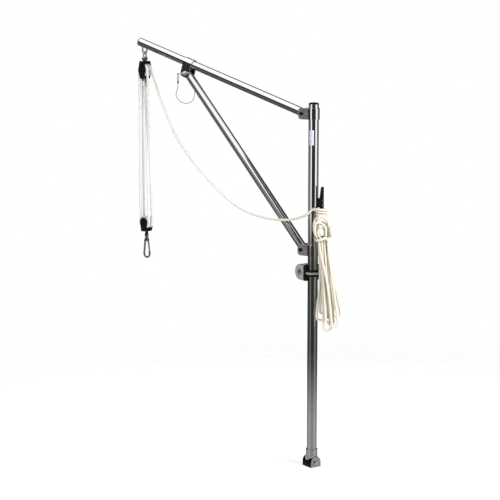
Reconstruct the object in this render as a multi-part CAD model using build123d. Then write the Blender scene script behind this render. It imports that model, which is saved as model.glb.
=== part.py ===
from build123d import *
import math
import os

# Cargo boom for a boat's stern rail, in millimetres and degrees.
# The origin is on the mast axis at the deck, +Z is up and the boom lies over +X.

# Mast, boom and strut tubes
MAST_OD = 38.1
MAST_WALL = 2.1
MAST_TOP = 1366.0
BOOM_OD = 31.75
BOOM_WALL = 1.65
STRUT_OD = 31.75
STRUT_WALL = 1.65
BOOM_PIVOT_Z = 1331.0
BOOM_PIVOT_REACH = 40.0
BOOM_RISE = 17.3
STRUT_PIVOT_Z = 826.0
STRUT_PIVOT_REACH = 40.0
STRUT_PIN_ALONG = 572.0
STRUT_PIN_DROP = 40.0
TUBE_END = 11.0
CAP_DOME = 7.0
PLUG_DEPTH = 8.0

# Folded straps, their pivot bolts and the quick-release pin
SHEET = 3.0
BRACKET_HEIGHT = 42.0
SADDLE_LENGTH = 42.0
EAR_END = 15.0
EAR_CORNER = 13.0
PIVOT_D = 8.0
PIVOT_HEAD_AF = 13.0
PIVOT_HEAD_H = 5.3
PIVOT_NUT_H = 7.5
PIVOT_THREAD_END = 2.0
WASHER_OD = 20.0
PIN_D = 9.5
PIN_COLLAR_D = 17.0
PIN_COLLAR_H = 4.0
PIN_HEAD_D = 12.0
PIN_HEAD_H = 9.0
PIN_TIP = 8.0
PIN_RING_R = 12.0
PIN_RING_D = 2.8
PIN_RING_TILT = 12.0
BALL_D = 4.0
BALL_STAND = 0.05

# Deck foot and rail clamp, which are turned about the mast to face the rail
RAIL_TURN = -20.0
RAIL_D = 25.4
RAIL_Z = 741.0
CLAMP_WALL = 16.8
CLAMP_LENGTH = 64.0
CLAMP_SPLIT = 1.0
CLAMP_COLLAR = 3.5
CLAMP_RING = 7.0
CLAMP_WEB = 3.5
CLAMP_EDGE = 2.0
BUSH_WALL = 6.5
BUSH_RING = 24.0
BUSH_BACK = 3.0
BUSH_EDGE = 1.5
CLAMP_SCREW_D = 6.0
CLAMP_HEAD_D = 10.0
CLAMP_HEAD_H = 6.0
SCREW_EDGE = 9.5
FOOT_WIDTH = 46.0
FOOT_LENGTH = 56.0
FOOT_HEIGHT = 41.0
FOOT_EDGE = 1.5
FOOT_BOLT_D = 8.0
FOOT_BOLT_Z = 17.0
FOOT_POCKET_Z = 30.0
PAD_THICK = 4.0
SOCKET_WALL = 3.0
SOCKET_TOP = 68.0
TAP_D = 6.8
TAP_DEPTH = 14.0
TAP_SPREAD = 32.0

# Cleat on the mast, on the side away from the boom
CLEAT_Z = 1005.0
CLEAT_STEM = 34.0
CLEAT_UPPER_HORN = 60.0
CLEAT_LOWER_HORN = 53.0
CLEAT_STANDOFF = 12.5
CLEAT_HORN = 13.0
CLEAT_TIP = 7.0
CLEAT_LEAN = 6.0
CLEAT_WIDTH = 13.0
CLEAT_EDGE = 2.5
CLEAT_SCREW_D = 5.0
CLEAT_HEAD_D = 9.0
CLEAT_SCREW_PITCH = 17.0

# Tip eye and shackle
TACKLE_ALONG = 809.0
TIP_OVERHANG = 27.0
EYE_ROD_D = 6.35
EYE_PITCH = 22.0
EYE_DROP = 22.0
EYE_ROOT = 5.0
SHACKLE_ROD_D = 6.0
SHACKLE_INNER = 10.0
SHACKLE_PIN_D = 6.0
SHACKLE_PIN_DROP = 20.0
SHACKLE_EAR_D = 13.0
SHACKLE_HEAD_D = 10.0
SHACKLE_HEAD_H = 3.5

# Blocks and sheaves
ROPE_D = 9.0
ROPE_LAY_R = 21.5
GROOVE_GAP = 0.3
SHEAVE_OD = 48.0
SHEAVE_FLANGE = 1.25
SHEAVE_HUB_D = 17.0
SHEAVE_WEB = 5.0
AXLE_D = 8.0
AXLE_HEAD_D = 10.5
AXLE_HEAD_H = 1.5
PLATE_THICK = 7.0
CHEEK_THICK = 3.8
CHEEK_EDGE = 1.4
BLOCK_HANG = 45.0
CHEEK_R = 18.5
CHEEK_TOP = 36.0
CHEEK_TOP_HALF = 13.0
CHEEK_CORNER = 4.0
CHEEK_TOE_R = 11.0
CHEEK_BOTTOM = 36.0
TIE_D = 4.6
TIE_HEIGHT = 30.5
SPACER_LOW = 26.0
SPACER_HALF = 12.5
BECKET_DROP = 40.0
BECKET_WEB = 5.5
SPLICE_TOP = 60.0
SPLICE_END = 69.0
SPLICE_D = 15.0
LOWER_AXLE_Z = 864.0
CROSSHEAD_TOP = 27.5
CROSSHEAD_H = 10.0
CROSSHEAD_HALF = 12.5
LOWER_TIE_D = 3.6
LOWER_TIE_SPREAD = 18.5

# Swivel, snap hook and gate
SWIVEL_D = 8.0
SWIVEL_HEAD_D = 12.4
SWIVEL_HEAD_H = 3.7
SWIVEL_COLLAR_D = 14.0
SWIVEL_COLLAR_H = 2.0
SWIVEL_EYE_R = 6.6
SWIVEL_ROD_D = 5.8
HOOK_EYE_R = 6.6
HOOK_EYE_ROD_D = 6.4
HOOK_ROD_D = 7.8
HOOK_DEPTH = 88.0
HOOK_WIDTH = 31.0
HOOK_NECK = 15.0
HOOK_BEND_R = 13.4
HOOK_SHOULDER = 16.0
HOOK_SHOULDER_EDGE = 1.2
HOOK_NOSE = 28.0
GATE_ROD_D = 6.0
GATE_TONGUE = 3.2
GATE_PIN_D = 2.4
GATE_GAP = 1.2
GATE_STEP = 3.0

# Hank and cleat turns, wound from the hauling line's tail
TURN_HALF_X = 14.0
TURN_HALF_Y = 21.0
TURN_PITCH = 9.7
TURN_TOP_Z = 982.0
TURN_COUNT = 2.75
HANK_LAYERS = 4
HANK_PITCH = 9.9
HANK_TOP_NEST = 12.6
HANK_TOP_DEPTH = 14.2
HANK_CLIMB = 0.47
HANK_CROWNS = {"in": 0.46, "climb in": -1.15, "out": 0.0, "climb out": 1.3}
HANK_TOP_Z = 930.0
HANK_TOP_HALF = 25.0
HANK_WAIST_Z = 858.0
HANK_BOTTOM_Z = 533.0
HANK_FAN = 4.0
HANK_HALVES = (21.0, 20.0, 22.0, 20.0)
HANK_SWINGS = (-22.0, 22.0, -3.0, 8.0)
HANK_DROPS = (42.0, 36.0, 0.0, 18.0)
HANK_FACING = 38.0
HANK_TOP_SIDE = 36.0
HANK_LOW_SIDE = 62.0
HANK_OUT = 49.0

# Wire lanyard of the quick-release pin
LANYARD_D = 2.0
FERRULE_D = 4.6
FERRULE_LENGTH = 10.0
LOOP_HEIGHT = 26.0

# Clearances: a tight seat, a running fit and the room beside a moving face
SEAT = 0.05
RUNNING = 0.08
SIDE_GAP = 0.3

# Derived places in the boom's plane
BOOM_LENGTH = TACKLE_ALONG + TIP_OVERHANG
RISE = math.radians(BOOM_RISE)
BOOM_DIR = Vector(math.cos(RISE), 0, math.sin(RISE))
BOOM_DOWN = Vector(math.sin(RISE), 0, -math.cos(RISE))
Y_DIR = Vector(0, 1, 0)
MAST_R = MAST_OD / 2
BOOM_R = BOOM_OD / 2
STRUT_R = STRUT_OD / 2
ROPE_R = ROPE_D / 2
BOOM_PIVOT = Vector(BOOM_PIVOT_REACH, 0, BOOM_PIVOT_Z)
STRUT_PIVOT = Vector(STRUT_PIVOT_REACH, 0, STRUT_PIVOT_Z)
STRUT_PIN = BOOM_PIVOT + BOOM_DIR * STRUT_PIN_ALONG + BOOM_DOWN * STRUT_PIN_DROP
STRUT_VECTOR = STRUT_PIN - STRUT_PIVOT
STRUT_DIR = STRUT_VECTOR.normalized()
EYE_FOOT = BOOM_PIVOT + BOOM_DIR * TACKLE_ALONG + BOOM_DOWN * BOOM_R
EYE_X = EYE_FOOT.X
EYE_Z = EYE_FOOT.Z - EYE_DROP
BLOCK_PIN_Z = EYE_Z - SHACKLE_PIN_DROP
UPPER_AXLE_Z = BLOCK_PIN_Z - BLOCK_HANG
MAST_FOOT_Z = FOOT_POCKET_Z + PAD_THICK
BRACKET_INNER = MAST_R + SEAT
SADDLE_INNER = BOOM_R + SEAT

# Derived sizes of the blocks: a sheave runs in each slot beside the middle plate
GROOVE_HALF = ROPE_R + GROOVE_GAP
SHEAVE_WIDTH = 2 * (GROOVE_HALF + SHEAVE_FLANGE)
SLOT = SHEAVE_WIDTH + 2 * SIDE_GAP
NEAR_Y = (PLATE_THICK + SLOT) / 2
FAR_Y = -NEAR_Y
CHEEK_Y = PLATE_THICK / 2 + SLOT
BLOCK_HALF = CHEEK_Y + CHEEK_THICK

# Derived sizes of the clamp and the socket
SOCKET_BORE = MAST_R + RUNNING
BUSH_R = MAST_R + RUNNING + BUSH_WALL
RAIL_R = RAIL_D / 2
RAIL_OFFSET = BUSH_R + CLAMP_WEB + RAIL_R
CLAMP_R = RAIL_R + CLAMP_WALL
FOOT_TURN = Rot(0, 0, RAIL_TURN)


def cylinder_from(plane, radius, start, end):
    """Round bar along the plane's normal between two heights above the plane."""
    bar = Cylinder(radius, end - start, align=(Align.CENTER, Align.CENTER, Align.MIN))
    return plane * (Pos(0, 0, start) * bar)


def tube_from(plane, radius, wall, start, end):
    """Round tube along the plane's normal."""
    return cylinder_from(plane, radius, start, end) - cylinder_from(plane, radius - wall, start, end)


def hexagon_from(plane, across_flats, start, end):
    """Hexagonal bar along the plane's normal."""
    face = RegularPolygon(across_flats / 2, 6, major_radius=False)
    return plane * (Pos(0, 0, start) * extrude(face, end - start))


def across(point):
    """Plane at a point of the boom's plane whose normal is +Y, with +X as its own x."""
    return Plane(origin=point, x_dir=(1, 0, 0), z_dir=(0, 1, 0))


def tube_axis(point, direction):
    """Plane at the start of a tube whose normal runs along it, with +Y as its own x."""
    return Plane(origin=point, x_dir=(0, 1, 0), z_dir=direction)


def swept_rod(path, radius):
    """Round rod swept along a path of lines and tangent arcs."""
    start = Plane(origin=path @ 0, z_dir=path % 0)
    return sweep(start * Circle(radius), path=path)


def slanted_rope(top, bottom):
    """Rope between two level circles, so that its ends stay level."""
    run = bottom - top
    return extrude(Plane(origin=top) * Circle(ROPE_R), amount=run.length, dir=run.normalized())


def vector_plane(x, y, z):
    """Level plane at a point."""
    return Plane(origin=(x, y, z))


# Mast, boom and strut

BOOM_PLANE = tube_axis(BOOM_PIVOT, BOOM_DIR)
STRUT_PLANE = tube_axis(STRUT_PIVOT, STRUT_DIR)
STRUT_LENGTH = STRUT_VECTOR.length
EYE_HALF = EYE_PITCH / 2


def mast_tube():
    """Mast with the two holes that take the cleat's screws."""
    tube = tube_from(Plane.XY, MAST_R, MAST_WALL, MAST_FOOT_Z, MAST_TOP)
    for screw_z in cleat_screw_heights():
        tube -= cleat_bore(screw_z, CLEAT_SCREW_D / 2 + SEAT)
    return tube


def dome_plug(radius, wall):
    """End plug of a tube: a low dome over a rim, and a plain stem inside the tube."""
    stem_r = radius - wall - SEAT
    crown = CAP_DOME / 2
    crown_r = (radius ** 2 + crown ** 2) / (2 * crown)
    mid_z = CAP_DOME - crown_r + math.sqrt(crown_r ** 2 - radius ** 2 / 4)
    with BuildPart() as plug:
        with BuildSketch(Plane.XZ):
            with BuildLine():
                Polyline((0, -PLUG_DEPTH), (stem_r, -PLUG_DEPTH), (stem_r, 0), (radius, 0),
                         (radius, CAP_DOME - crown))
                ThreePointArc((radius, CAP_DOME - crown), (radius / 2, mid_z), (0, CAP_DOME))
                Line((0, CAP_DOME), (0, -PLUG_DEPTH))
            make_face()
        revolve(axis=Axis.Z)
    return plug.part


def boom_tube():
    """Boom with its pivot hole at the root and the tip eye's two holes below."""
    tube = tube_from(BOOM_PLANE, BOOM_R, BOOM_WALL, -TUBE_END, BOOM_LENGTH)
    tube -= cylinder_from(across(BOOM_PIVOT), PIVOT_D / 2 + SEAT, -BOOM_R, BOOM_R)
    for side in (-EYE_HALF, EYE_HALF):
        hole = vector_plane(EYE_X + side, 0, EYE_Z)
        tube -= cylinder_from(hole, EYE_ROD_D / 2 + SEAT, 0, EYE_DROP + BOOM_R)
    return tube


def strut_tube():
    """Strut with its pivot hole at the foot and its pin hole at the head."""
    tube = tube_from(STRUT_PLANE, STRUT_R, STRUT_WALL, -TUBE_END, STRUT_LENGTH + TUBE_END)
    tube -= cylinder_from(across(STRUT_PIVOT), PIVOT_D / 2 + SEAT, -STRUT_R, STRUT_R)
    return tube - cylinder_from(across(STRUT_PIN), PIN_D / 2 + RUNNING, -STRUT_R, STRUT_R)


def folded_strap(inner_r, length, reach, hole_reach, hole_r):
    """Sheet folded round a tube on Z, with two ears along +X that are holed along Y."""
    outer_r = inner_r + SHEET
    ear_reach = reach + outer_r
    with BuildPart() as strap:
        with BuildSketch():
            Circle(outer_r)
            with Locations((ear_reach / 2 - outer_r / 2, 0)):
                Rectangle(reach, 2 * outer_r)
            Circle(inner_r, mode=Mode.SUBTRACT)
            with Locations((ear_reach / 2, 0)):
                Rectangle(ear_reach, 2 * inner_r, mode=Mode.SUBTRACT)
        extrude(amount=length / 2, both=True)
        end_edges = strap.edges().filter_by(Axis.Y).group_by(Axis.X)[-1]
        fillet(end_edges, EAR_CORNER)
        with Locations(Location((hole_reach, 0, 0), (90, 0, 0))):
            Cylinder(hole_r, 4 * outer_r, mode=Mode.SUBTRACT)
    return strap.part


def mast_bracket(pivot):
    """Strap round the mast that carries a tube's pivot bolt."""
    strap = folded_strap(BRACKET_INNER, BRACKET_HEIGHT, pivot.X + EAR_END, pivot.X, PIVOT_D / 2 + SEAT)
    return Pos(0, 0, pivot.Z) * strap


SADDLE_PLANE = Plane(origin=BOOM_PIVOT + BOOM_DIR * STRUT_PIN_ALONG, x_dir=BOOM_DOWN, z_dir=BOOM_DIR)


def boom_saddle():
    """Strap over the boom whose ears hang down to hold the strut's head."""
    reach = STRUT_PIN_DROP + EAR_END
    hole_r = PIN_D / 2 + RUNNING
    return SADDLE_PLANE * folded_strap(SADDLE_INNER, SADDLE_LENGTH, reach, STRUT_PIN_DROP, hole_r)


EAR_OUTER = BRACKET_INNER + SHEET


def at_pivots(make):
    """One copy of a fastener at each of the two pivots."""
    return Compound(children=[make(across(BOOM_PIVOT)), make(across(STRUT_PIVOT))])


def pivot_bolt(plane):
    """Hexagon bolt across the ears with its head on the +Y side."""
    end = -EAR_OUTER - PIVOT_NUT_H - PIVOT_THREAD_END
    shank = cylinder_from(plane, PIVOT_D / 2, end, EAR_OUTER)
    return shank + hexagon_from(plane, PIVOT_HEAD_AF, EAR_OUTER, EAR_OUTER + PIVOT_HEAD_H)


def pivot_nut(plane):
    """Locking nut with its round collar on the -Y side."""
    hex_end = -EAR_OUTER - PIVOT_NUT_H * 0.7
    nut = hexagon_from(plane, PIVOT_HEAD_AF, hex_end, -EAR_OUTER)
    nut += cylinder_from(plane, PIVOT_HEAD_AF * 0.44, -EAR_OUTER - PIVOT_NUT_H, hex_end)
    return nut - cylinder_from(plane, PIVOT_D / 2 + SEAT, -EAR_OUTER - PIVOT_NUT_H, -EAR_OUTER)


def pivot_washers():
    """Plastic washers that centre each tube between its ears."""
    washers = []
    for pivot, tube_r in ((BOOM_PIVOT, BOOM_R), (STRUT_PIVOT, STRUT_R)):
        for side in (1, -1):
            inner, outer = tube_r + SEAT, BRACKET_INNER - SEAT
            ends = sorted((side * inner, side * outer))
            ring = cylinder_from(across(pivot), WASHER_OD / 2, *ends)
            washers.append(ring - cylinder_from(across(pivot), PIVOT_D / 2 + SEAT, *ends))
    return Compound(children=washers)


def tip_eye():
    """Bent rod whose two legs stand in the boom's underside."""
    legs_top = [EYE_FOOT.Z + side * math.tan(RISE) + EYE_ROOT for side in (-EYE_HALF, EYE_HALF)]
    bow_z = EYE_Z + EYE_HALF
    left, right = EYE_X - EYE_HALF, EYE_X + EYE_HALF
    with BuildLine() as path:
        Line((left, 0, legs_top[0]), (left, 0, bow_z))
        ThreePointArc((left, 0, bow_z), (EYE_X, 0, EYE_Z), (right, 0, bow_z))
        Line((right, 0, bow_z), (right, 0, legs_top[1]))
    return swept_rod(path.wire(), EYE_ROD_D / 2)


# Quick-release pin

SADDLE_OUTER = SADDLE_INNER + SHEET
PIN_PLANE = across(STRUT_PIN)
COLLAR_Y = SADDLE_OUTER + SIDE_GAP
HEAD_Y = COLLAR_Y + PIN_COLLAR_H
RING_HOLE_Y = HEAD_Y + PIN_HEAD_H * 0.55
BALL_Y = -SADDLE_OUTER - PIN_TIP * 0.45


def ball_places():
    """Centres of the two locking balls, pressed in almost flush with the shank."""
    offset = PIN_D / 2 - BALL_D / 2 + BALL_STAND
    return [STRUT_PIN + Vector(0, BALL_Y, side * offset) for side in (1, -1)]


def pin_shank():
    """Pin with a collar, a head holed for the ring and a cross hole for the balls in its tip."""
    shank = cylinder_from(PIN_PLANE, PIN_D / 2, -SADDLE_OUTER - PIN_TIP, COLLAR_Y)
    shank += cylinder_from(PIN_PLANE, PIN_COLLAR_D / 2, COLLAR_Y, HEAD_Y)
    shank += cylinder_from(PIN_PLANE, PIN_HEAD_D / 2, HEAD_Y, HEAD_Y + PIN_HEAD_H)
    shank -= ring_form(PIN_RING_D / 2 + SEAT)
    cross_hole = vector_plane(STRUT_PIN.X, BALL_Y, STRUT_PIN.Z)
    return shank - cylinder_from(cross_hole, BALL_D / 2 + SEAT, -PIN_D, PIN_D)


RING_CENTRE = STRUT_PIN + Vector(0, RING_HOLE_Y + PIN_RING_R, 0)


def ring_form(rod_r):
    """Round ring through the pin's head, tilted a little about the pin's axis."""
    tilt = Pos(STRUT_PIN.X, RING_HOLE_Y, STRUT_PIN.Z) * Rot(0, PIN_RING_TILT, 0)
    return tilt * Pos(0, PIN_RING_R, 0) * Torus(PIN_RING_R, rod_r)


def pin_ring():
    """Pull ring."""
    return ring_form(PIN_RING_D / 2)


def pin_balls():
    """Two locking balls."""
    return Compound(children=[Pos(place) * Sphere(BALL_D / 2) for place in ball_places()])


# Tip shackle

EYE_ROD_R = EYE_ROD_D / 2
SHACKLE_R = SHACKLE_ROD_D / 2
SHACKLE_BOW_R = SHACKLE_INNER / 2 + SHACKLE_R
SHACKLE_TOP = EYE_Z + EYE_ROD_R + SIDE_GAP + SHACKLE_R
SHACKLE_PIN_PLANE = across(Vector(EYE_X, 0, BLOCK_PIN_Z))
SHACKLE_OUTER = SHACKLE_BOW_R + SHACKLE_R


def shackle_bow():
    """Bow hung through the tip eye, with a holed ear at the foot of each leg."""
    bow_z = SHACKLE_TOP - SHACKLE_BOW_R
    with BuildLine() as path:
        Line((EYE_X, SHACKLE_BOW_R, BLOCK_PIN_Z), (EYE_X, SHACKLE_BOW_R, bow_z))
        ThreePointArc((EYE_X, SHACKLE_BOW_R, bow_z), (EYE_X, 0, SHACKLE_TOP), (EYE_X, -SHACKLE_BOW_R, bow_z))
        Line((EYE_X, -SHACKLE_BOW_R, bow_z), (EYE_X, -SHACKLE_BOW_R, BLOCK_PIN_Z))
    bow = swept_rod(path.wire(), SHACKLE_R)
    inner = SHACKLE_INNER / 2
    for ends in ((inner, SHACKLE_OUTER), (-SHACKLE_OUTER, -inner)):
        bow += cylinder_from(SHACKLE_PIN_PLANE, SHACKLE_EAR_D / 2, *ends)
    return bow - cylinder_from(SHACKLE_PIN_PLANE, SHACKLE_PIN_D / 2 + SEAT, -SHACKLE_OUTER, SHACKLE_OUTER)


def shackle_pin():
    """Pin across the shackle's ears with a flat head on the +Y side."""
    pin = cylinder_from(SHACKLE_PIN_PLANE, SHACKLE_PIN_D / 2, -SHACKLE_OUTER, SHACKLE_OUTER)
    head_end = SHACKLE_OUTER + SHACKLE_HEAD_H
    return pin + cylinder_from(SHACKLE_PIN_PLANE, SHACKLE_HEAD_D / 2, SHACKLE_OUTER, head_end)


# Blocks: flat pieces are drawn in the XZ plane about the axle

UPPER_PLANE = across(Vector(EYE_X, 0, UPPER_AXLE_Z))
LOWER_PLANE = across(Vector(EYE_X, 0, LOWER_AXLE_Z))
SHEAVE_R = SHEAVE_OD / 2
AXLE_HOLE = AXLE_D / 2 + SEAT


def hull_plate(circles, start, end):
    """Plate between two heights whose outline is drawn tight round some circles."""
    with BuildPart() as plate:
        with BuildSketch(Plane.XY.offset(start)):
            for x, up, radius in circles:
                with Locations((x, -up)):
                    Circle(radius)
            make_hull()
        extrude(amount=end - start)
    return plate.part


def pin_hole(x, up, radius):
    """Round hole right through a block, at a place given from the axle."""
    return Pos(x, -up, 0) * Cylinder(radius, 4 * BLOCK_HALF)


def cheek(circles, side, holes):
    """Moulded cheek on one side of a block with its outer edge rounded off."""
    ends = sorted((side * CHEEK_Y, side * BLOCK_HALF))
    plate = hull_plate(circles, *ends)
    outer_face = plate.faces().sort_by(Axis.Z)[-1 if side > 0 else 0]
    plate = fillet(outer_face.edges(), CHEEK_EDGE)
    for hole in holes:
        plate -= pin_hole(*hole)
    return plate


def corner_circles(level):
    """Two small circles that square off the narrow end of a cheek."""
    half = CHEEK_TOP_HALF - CHEEK_CORNER
    up = level - math.copysign(CHEEK_CORNER, level)
    return [(-half, up, CHEEK_CORNER), (half, up, CHEEK_CORNER)]


AXLE_BORE = (0, 0, AXLE_HOLE)
TIE_BORE = (0, TIE_HEIGHT, TIE_D / 2 + SEAT)


def upper_cheek(side):
    """Cheek of the upper block: narrow above, round at the sheaves and drawn out below."""
    toe = (0, CHEEK_TOE_R - CHEEK_BOTTOM, CHEEK_TOE_R)
    circles = corner_circles(CHEEK_TOP) + [(0, 0, CHEEK_R), toe]
    return UPPER_PLANE * cheek(circles, side, [AXLE_BORE, TIE_BORE])


def lower_tie_bores(clearance):
    """Places of the two ties through the lower block's crosshead."""
    up = CROSSHEAD_H / 2 - CROSSHEAD_TOP - CROSSHEAD_H
    return [(x, up, LOWER_TIE_D / 2 + clearance) for x in (-LOWER_TIE_SPREAD / 2, LOWER_TIE_SPREAD / 2)]


LOWER_CHEEK_END = -CROSSHEAD_TOP - CROSSHEAD_H


def lower_cheek(side):
    """Cheek of the lower block: round above and squared off at the crosshead."""
    circles = corner_circles(LOWER_CHEEK_END) + [(0, 0, CHEEK_R)]
    return LOWER_PLANE * cheek(circles, side, [AXLE_BORE] + lower_tie_bores(SEAT))


LUG_R = SHACKLE_EAR_D / 2 + 1.5
BECKET_HOLE = ROPE_R + PLATE_THICK / 4


def upper_lug_plate():
    """Middle plate from the shackle's pin down to the hole for the rope's eye."""
    half = PLATE_THICK / 2
    head = hull_plate([(0, BLOCK_HANG, LUG_R), (0, 0, AXLE_D)], -half, half)
    foot = hull_plate([(0, 0, AXLE_D), (0, -BECKET_DROP, BECKET_HOLE + BECKET_WEB)], -half, half)
    plate = head + foot
    pin_bore = (0, BLOCK_HANG, SHACKLE_PIN_D / 2 + RUNNING)
    for hole in (AXLE_BORE, TIE_BORE, pin_bore, (0, -BECKET_DROP, BECKET_HOLE)):
        plate -= pin_hole(*hole)
    return UPPER_PLANE * plate


def lower_centre_plate():
    """Middle plate of the lower block, from above the axle to the crosshead."""
    half = PLATE_THICK / 2
    level = CROSSHEAD_TOP - LUG_R
    plate = hull_plate([(0, LUG_R, LUG_R), (0, -level, LUG_R)], -half, half)
    return LOWER_PLANE * (plate - pin_hole(*AXLE_BORE))


def block_axle(plane):
    """Axle across a block with a low round head outside each cheek."""
    axle = cylinder_from(plane, AXLE_D / 2, -BLOCK_HALF, BLOCK_HALF)
    for ends in ((BLOCK_HALF, BLOCK_HALF + AXLE_HEAD_H), (-BLOCK_HALF - AXLE_HEAD_H, -BLOCK_HALF)):
        axle += cylinder_from(plane, AXLE_HEAD_D / 2, *ends)
    return axle


def upper_tie_pin():
    """Pin that ties the upper cheeks to the lug plate above the sheaves."""
    plane = across(Vector(EYE_X, 0, UPPER_AXLE_Z + TIE_HEIGHT))
    return cylinder_from(plane, TIE_D / 2, -BLOCK_HALF, BLOCK_HALF)


def upper_spacers():
    """Two moulded blocks beside the lug plate that hold the upper cheeks apart."""
    inner = PLATE_THICK / 2 + SEAT
    width = CHEEK_Y - SEAT - inner
    spacers = []
    for side in (1, -1):
        block = Box(2 * SPACER_HALF, width, CHEEK_TOP - SPACER_LOW, align=(Align.CENTER, Align.CENTER, Align.MIN))
        block = Pos(EYE_X, side * (inner + width / 2), UPPER_AXLE_Z + SPACER_LOW) * block
        spacers.append(block - UPPER_PLANE * pin_hole(*TIE_BORE))
    return Compound(children=spacers)


def lower_crosshead():
    """Bar between the lower cheeks that the swivel's stem turns in."""
    bar = Box(2 * CROSSHEAD_HALF, 2 * CHEEK_Y, CROSSHEAD_H, align=(Align.CENTER, Align.CENTER, Align.MAX))
    bar = Pos(EYE_X, 0, LOWER_AXLE_Z - CROSSHEAD_TOP) * bar
    stem = vector_plane(EYE_X, 0, LOWER_AXLE_Z - CROSSHEAD_TOP)
    bar -= cylinder_from(stem, SWIVEL_D / 2 + RUNNING, -CROSSHEAD_H, 0)
    bar -= cylinder_from(stem, SWIVEL_HEAD_D / 2 + SIDE_GAP, -SWIVEL_HEAD_H - SIDE_GAP, 0)
    for hole in lower_tie_bores(SEAT):
        bar -= LOWER_PLANE * pin_hole(*hole)
    return bar


def lower_tie_pins():
    """Two pins that tie the lower cheeks to the crosshead."""
    pins = []
    for x, up, radius in lower_tie_bores(0):
        pins.append(LOWER_PLANE * Pos(x, -up, 0) * Cylinder(radius, 2 * BLOCK_HALF))
    return Compound(children=pins)


def sheave(axle_z, y):
    """Grooved wheel with a hub and a thin web, which runs on the block's axle."""
    half = SHEAVE_WIDTH / 2
    floor_r = ROPE_LAY_R - GROOVE_HALF
    rim_r = floor_r - SHEAVE_FLANGE * 2
    hub_r = SHEAVE_HUB_D / 2
    bore_r = AXLE_D / 2 + RUNNING
    web = SHEAVE_WEB / 2
    lip = half - SHEAVE_FLANGE * 0.6
    with BuildPart() as wheel:
        with BuildSketch(Plane.XZ):
            with BuildLine():
                Polyline((bore_r, -half), (hub_r, -half), (hub_r, -web), (rim_r, -web), (rim_r, -half),
                         (SHEAVE_R, -half), (SHEAVE_R, -lip), (ROPE_LAY_R, -GROOVE_HALF))
                ThreePointArc((ROPE_LAY_R, -GROOVE_HALF), (floor_r, 0), (ROPE_LAY_R, GROOVE_HALF))
                Polyline((ROPE_LAY_R, GROOVE_HALF), (SHEAVE_R, lip), (SHEAVE_R, half), (rim_r, half),
                         (rim_r, web), (hub_r, web), (hub_r, half), (bore_r, half), (bore_r, -half))
            make_face()
        revolve(axis=Axis.Z)
    return across(Vector(EYE_X, y, axle_z)) * wheel.part


# Rope in the tackle

HAUL_LEAVES = 22.0
HAUL_SLOPE = math.radians(HAUL_LEAVES)


def rope_turn(axle_z, y, start, sweep_angle):
    """Rope round a sheave, from a start angle that is measured from +X towards +Z."""
    turn = revolve(Plane.XZ * Pos(ROPE_LAY_R, 0) * Circle(ROPE_R), Axis.Z, sweep_angle)
    upright = Plane(origin=(EYE_X, y, axle_z), x_dir=(1, 0, 0), z_dir=(0, -1, 0))
    return upright * (Rot(0, 0, start) * turn)


def upper_rope_turns():
    """Half turn over the near sheave, and the turn over the far one to where the hauling line leaves."""
    near = rope_turn(UPPER_AXLE_Z, NEAR_Y, 0, 180)
    return Compound(children=[near, rope_turn(UPPER_AXLE_Z, FAR_Y, 0, 180 - HAUL_LEAVES)])


def lower_rope_turns():
    """Half turns under the two lower sheaves."""
    return Compound(children=[rope_turn(LOWER_AXLE_Z, y, 180, 180) for y in (NEAR_Y, FAR_Y)])


OUTBOARD_X = EYE_X + ROPE_LAY_R
INBOARD_X = EYE_X - ROPE_LAY_R


def tackle_falls():
    """The three falls that run from sheave to sheave."""
    runs = [(OUTBOARD_X, NEAR_Y, NEAR_Y), (OUTBOARD_X, FAR_Y, FAR_Y), (INBOARD_X, NEAR_Y, FAR_Y)]
    falls = []
    for x, top_y, low_y in runs:
        falls.append(slanted_rope(Vector(x, top_y, UPPER_AXLE_Z), Vector(x, low_y, LOWER_AXLE_Z)))
    return Compound(children=falls)


BECKET_Z = UPPER_AXLE_Z - BECKET_DROP
SPLICE_Z = UPPER_AXLE_Z - SPLICE_END


def becket_fall():
    """The fall that starts at the becket and goes to the near lower sheave."""
    return slanted_rope(Vector(EYE_X, 0, SPLICE_Z), Vector(INBOARD_X, NEAR_Y, LOWER_AXLE_Z))


def becket_splice():
    """Rope eye through the lug plate's lower hole, with its whipped throat."""
    leg_y = PLATE_THICK / 2 + SIDE_GAP + ROPE_R
    throat_z = UPPER_AXLE_Z - SPLICE_TOP
    bow_z = BECKET_Z - leg_y
    with BuildLine() as path:
        Line((EYE_X, leg_y, throat_z), (EYE_X, leg_y, bow_z))
        ThreePointArc((EYE_X, leg_y, bow_z), (EYE_X, 0, BECKET_Z), (EYE_X, -leg_y, bow_z))
        Line((EYE_X, -leg_y, bow_z), (EYE_X, -leg_y, throat_z))
    eye = swept_rod(path.wire(), ROPE_R)
    top = Plane(origin=(EYE_X, 0, throat_z)) * SlotOverall(2 * (leg_y + ROPE_R) + 1, SPLICE_D, rotation=90)
    end = Plane(origin=(EYE_X, 0, SPLICE_Z)) * Circle(ROPE_R)
    return eye + loft([top.face(), end.face()])


# Swivel and snap hook

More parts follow.
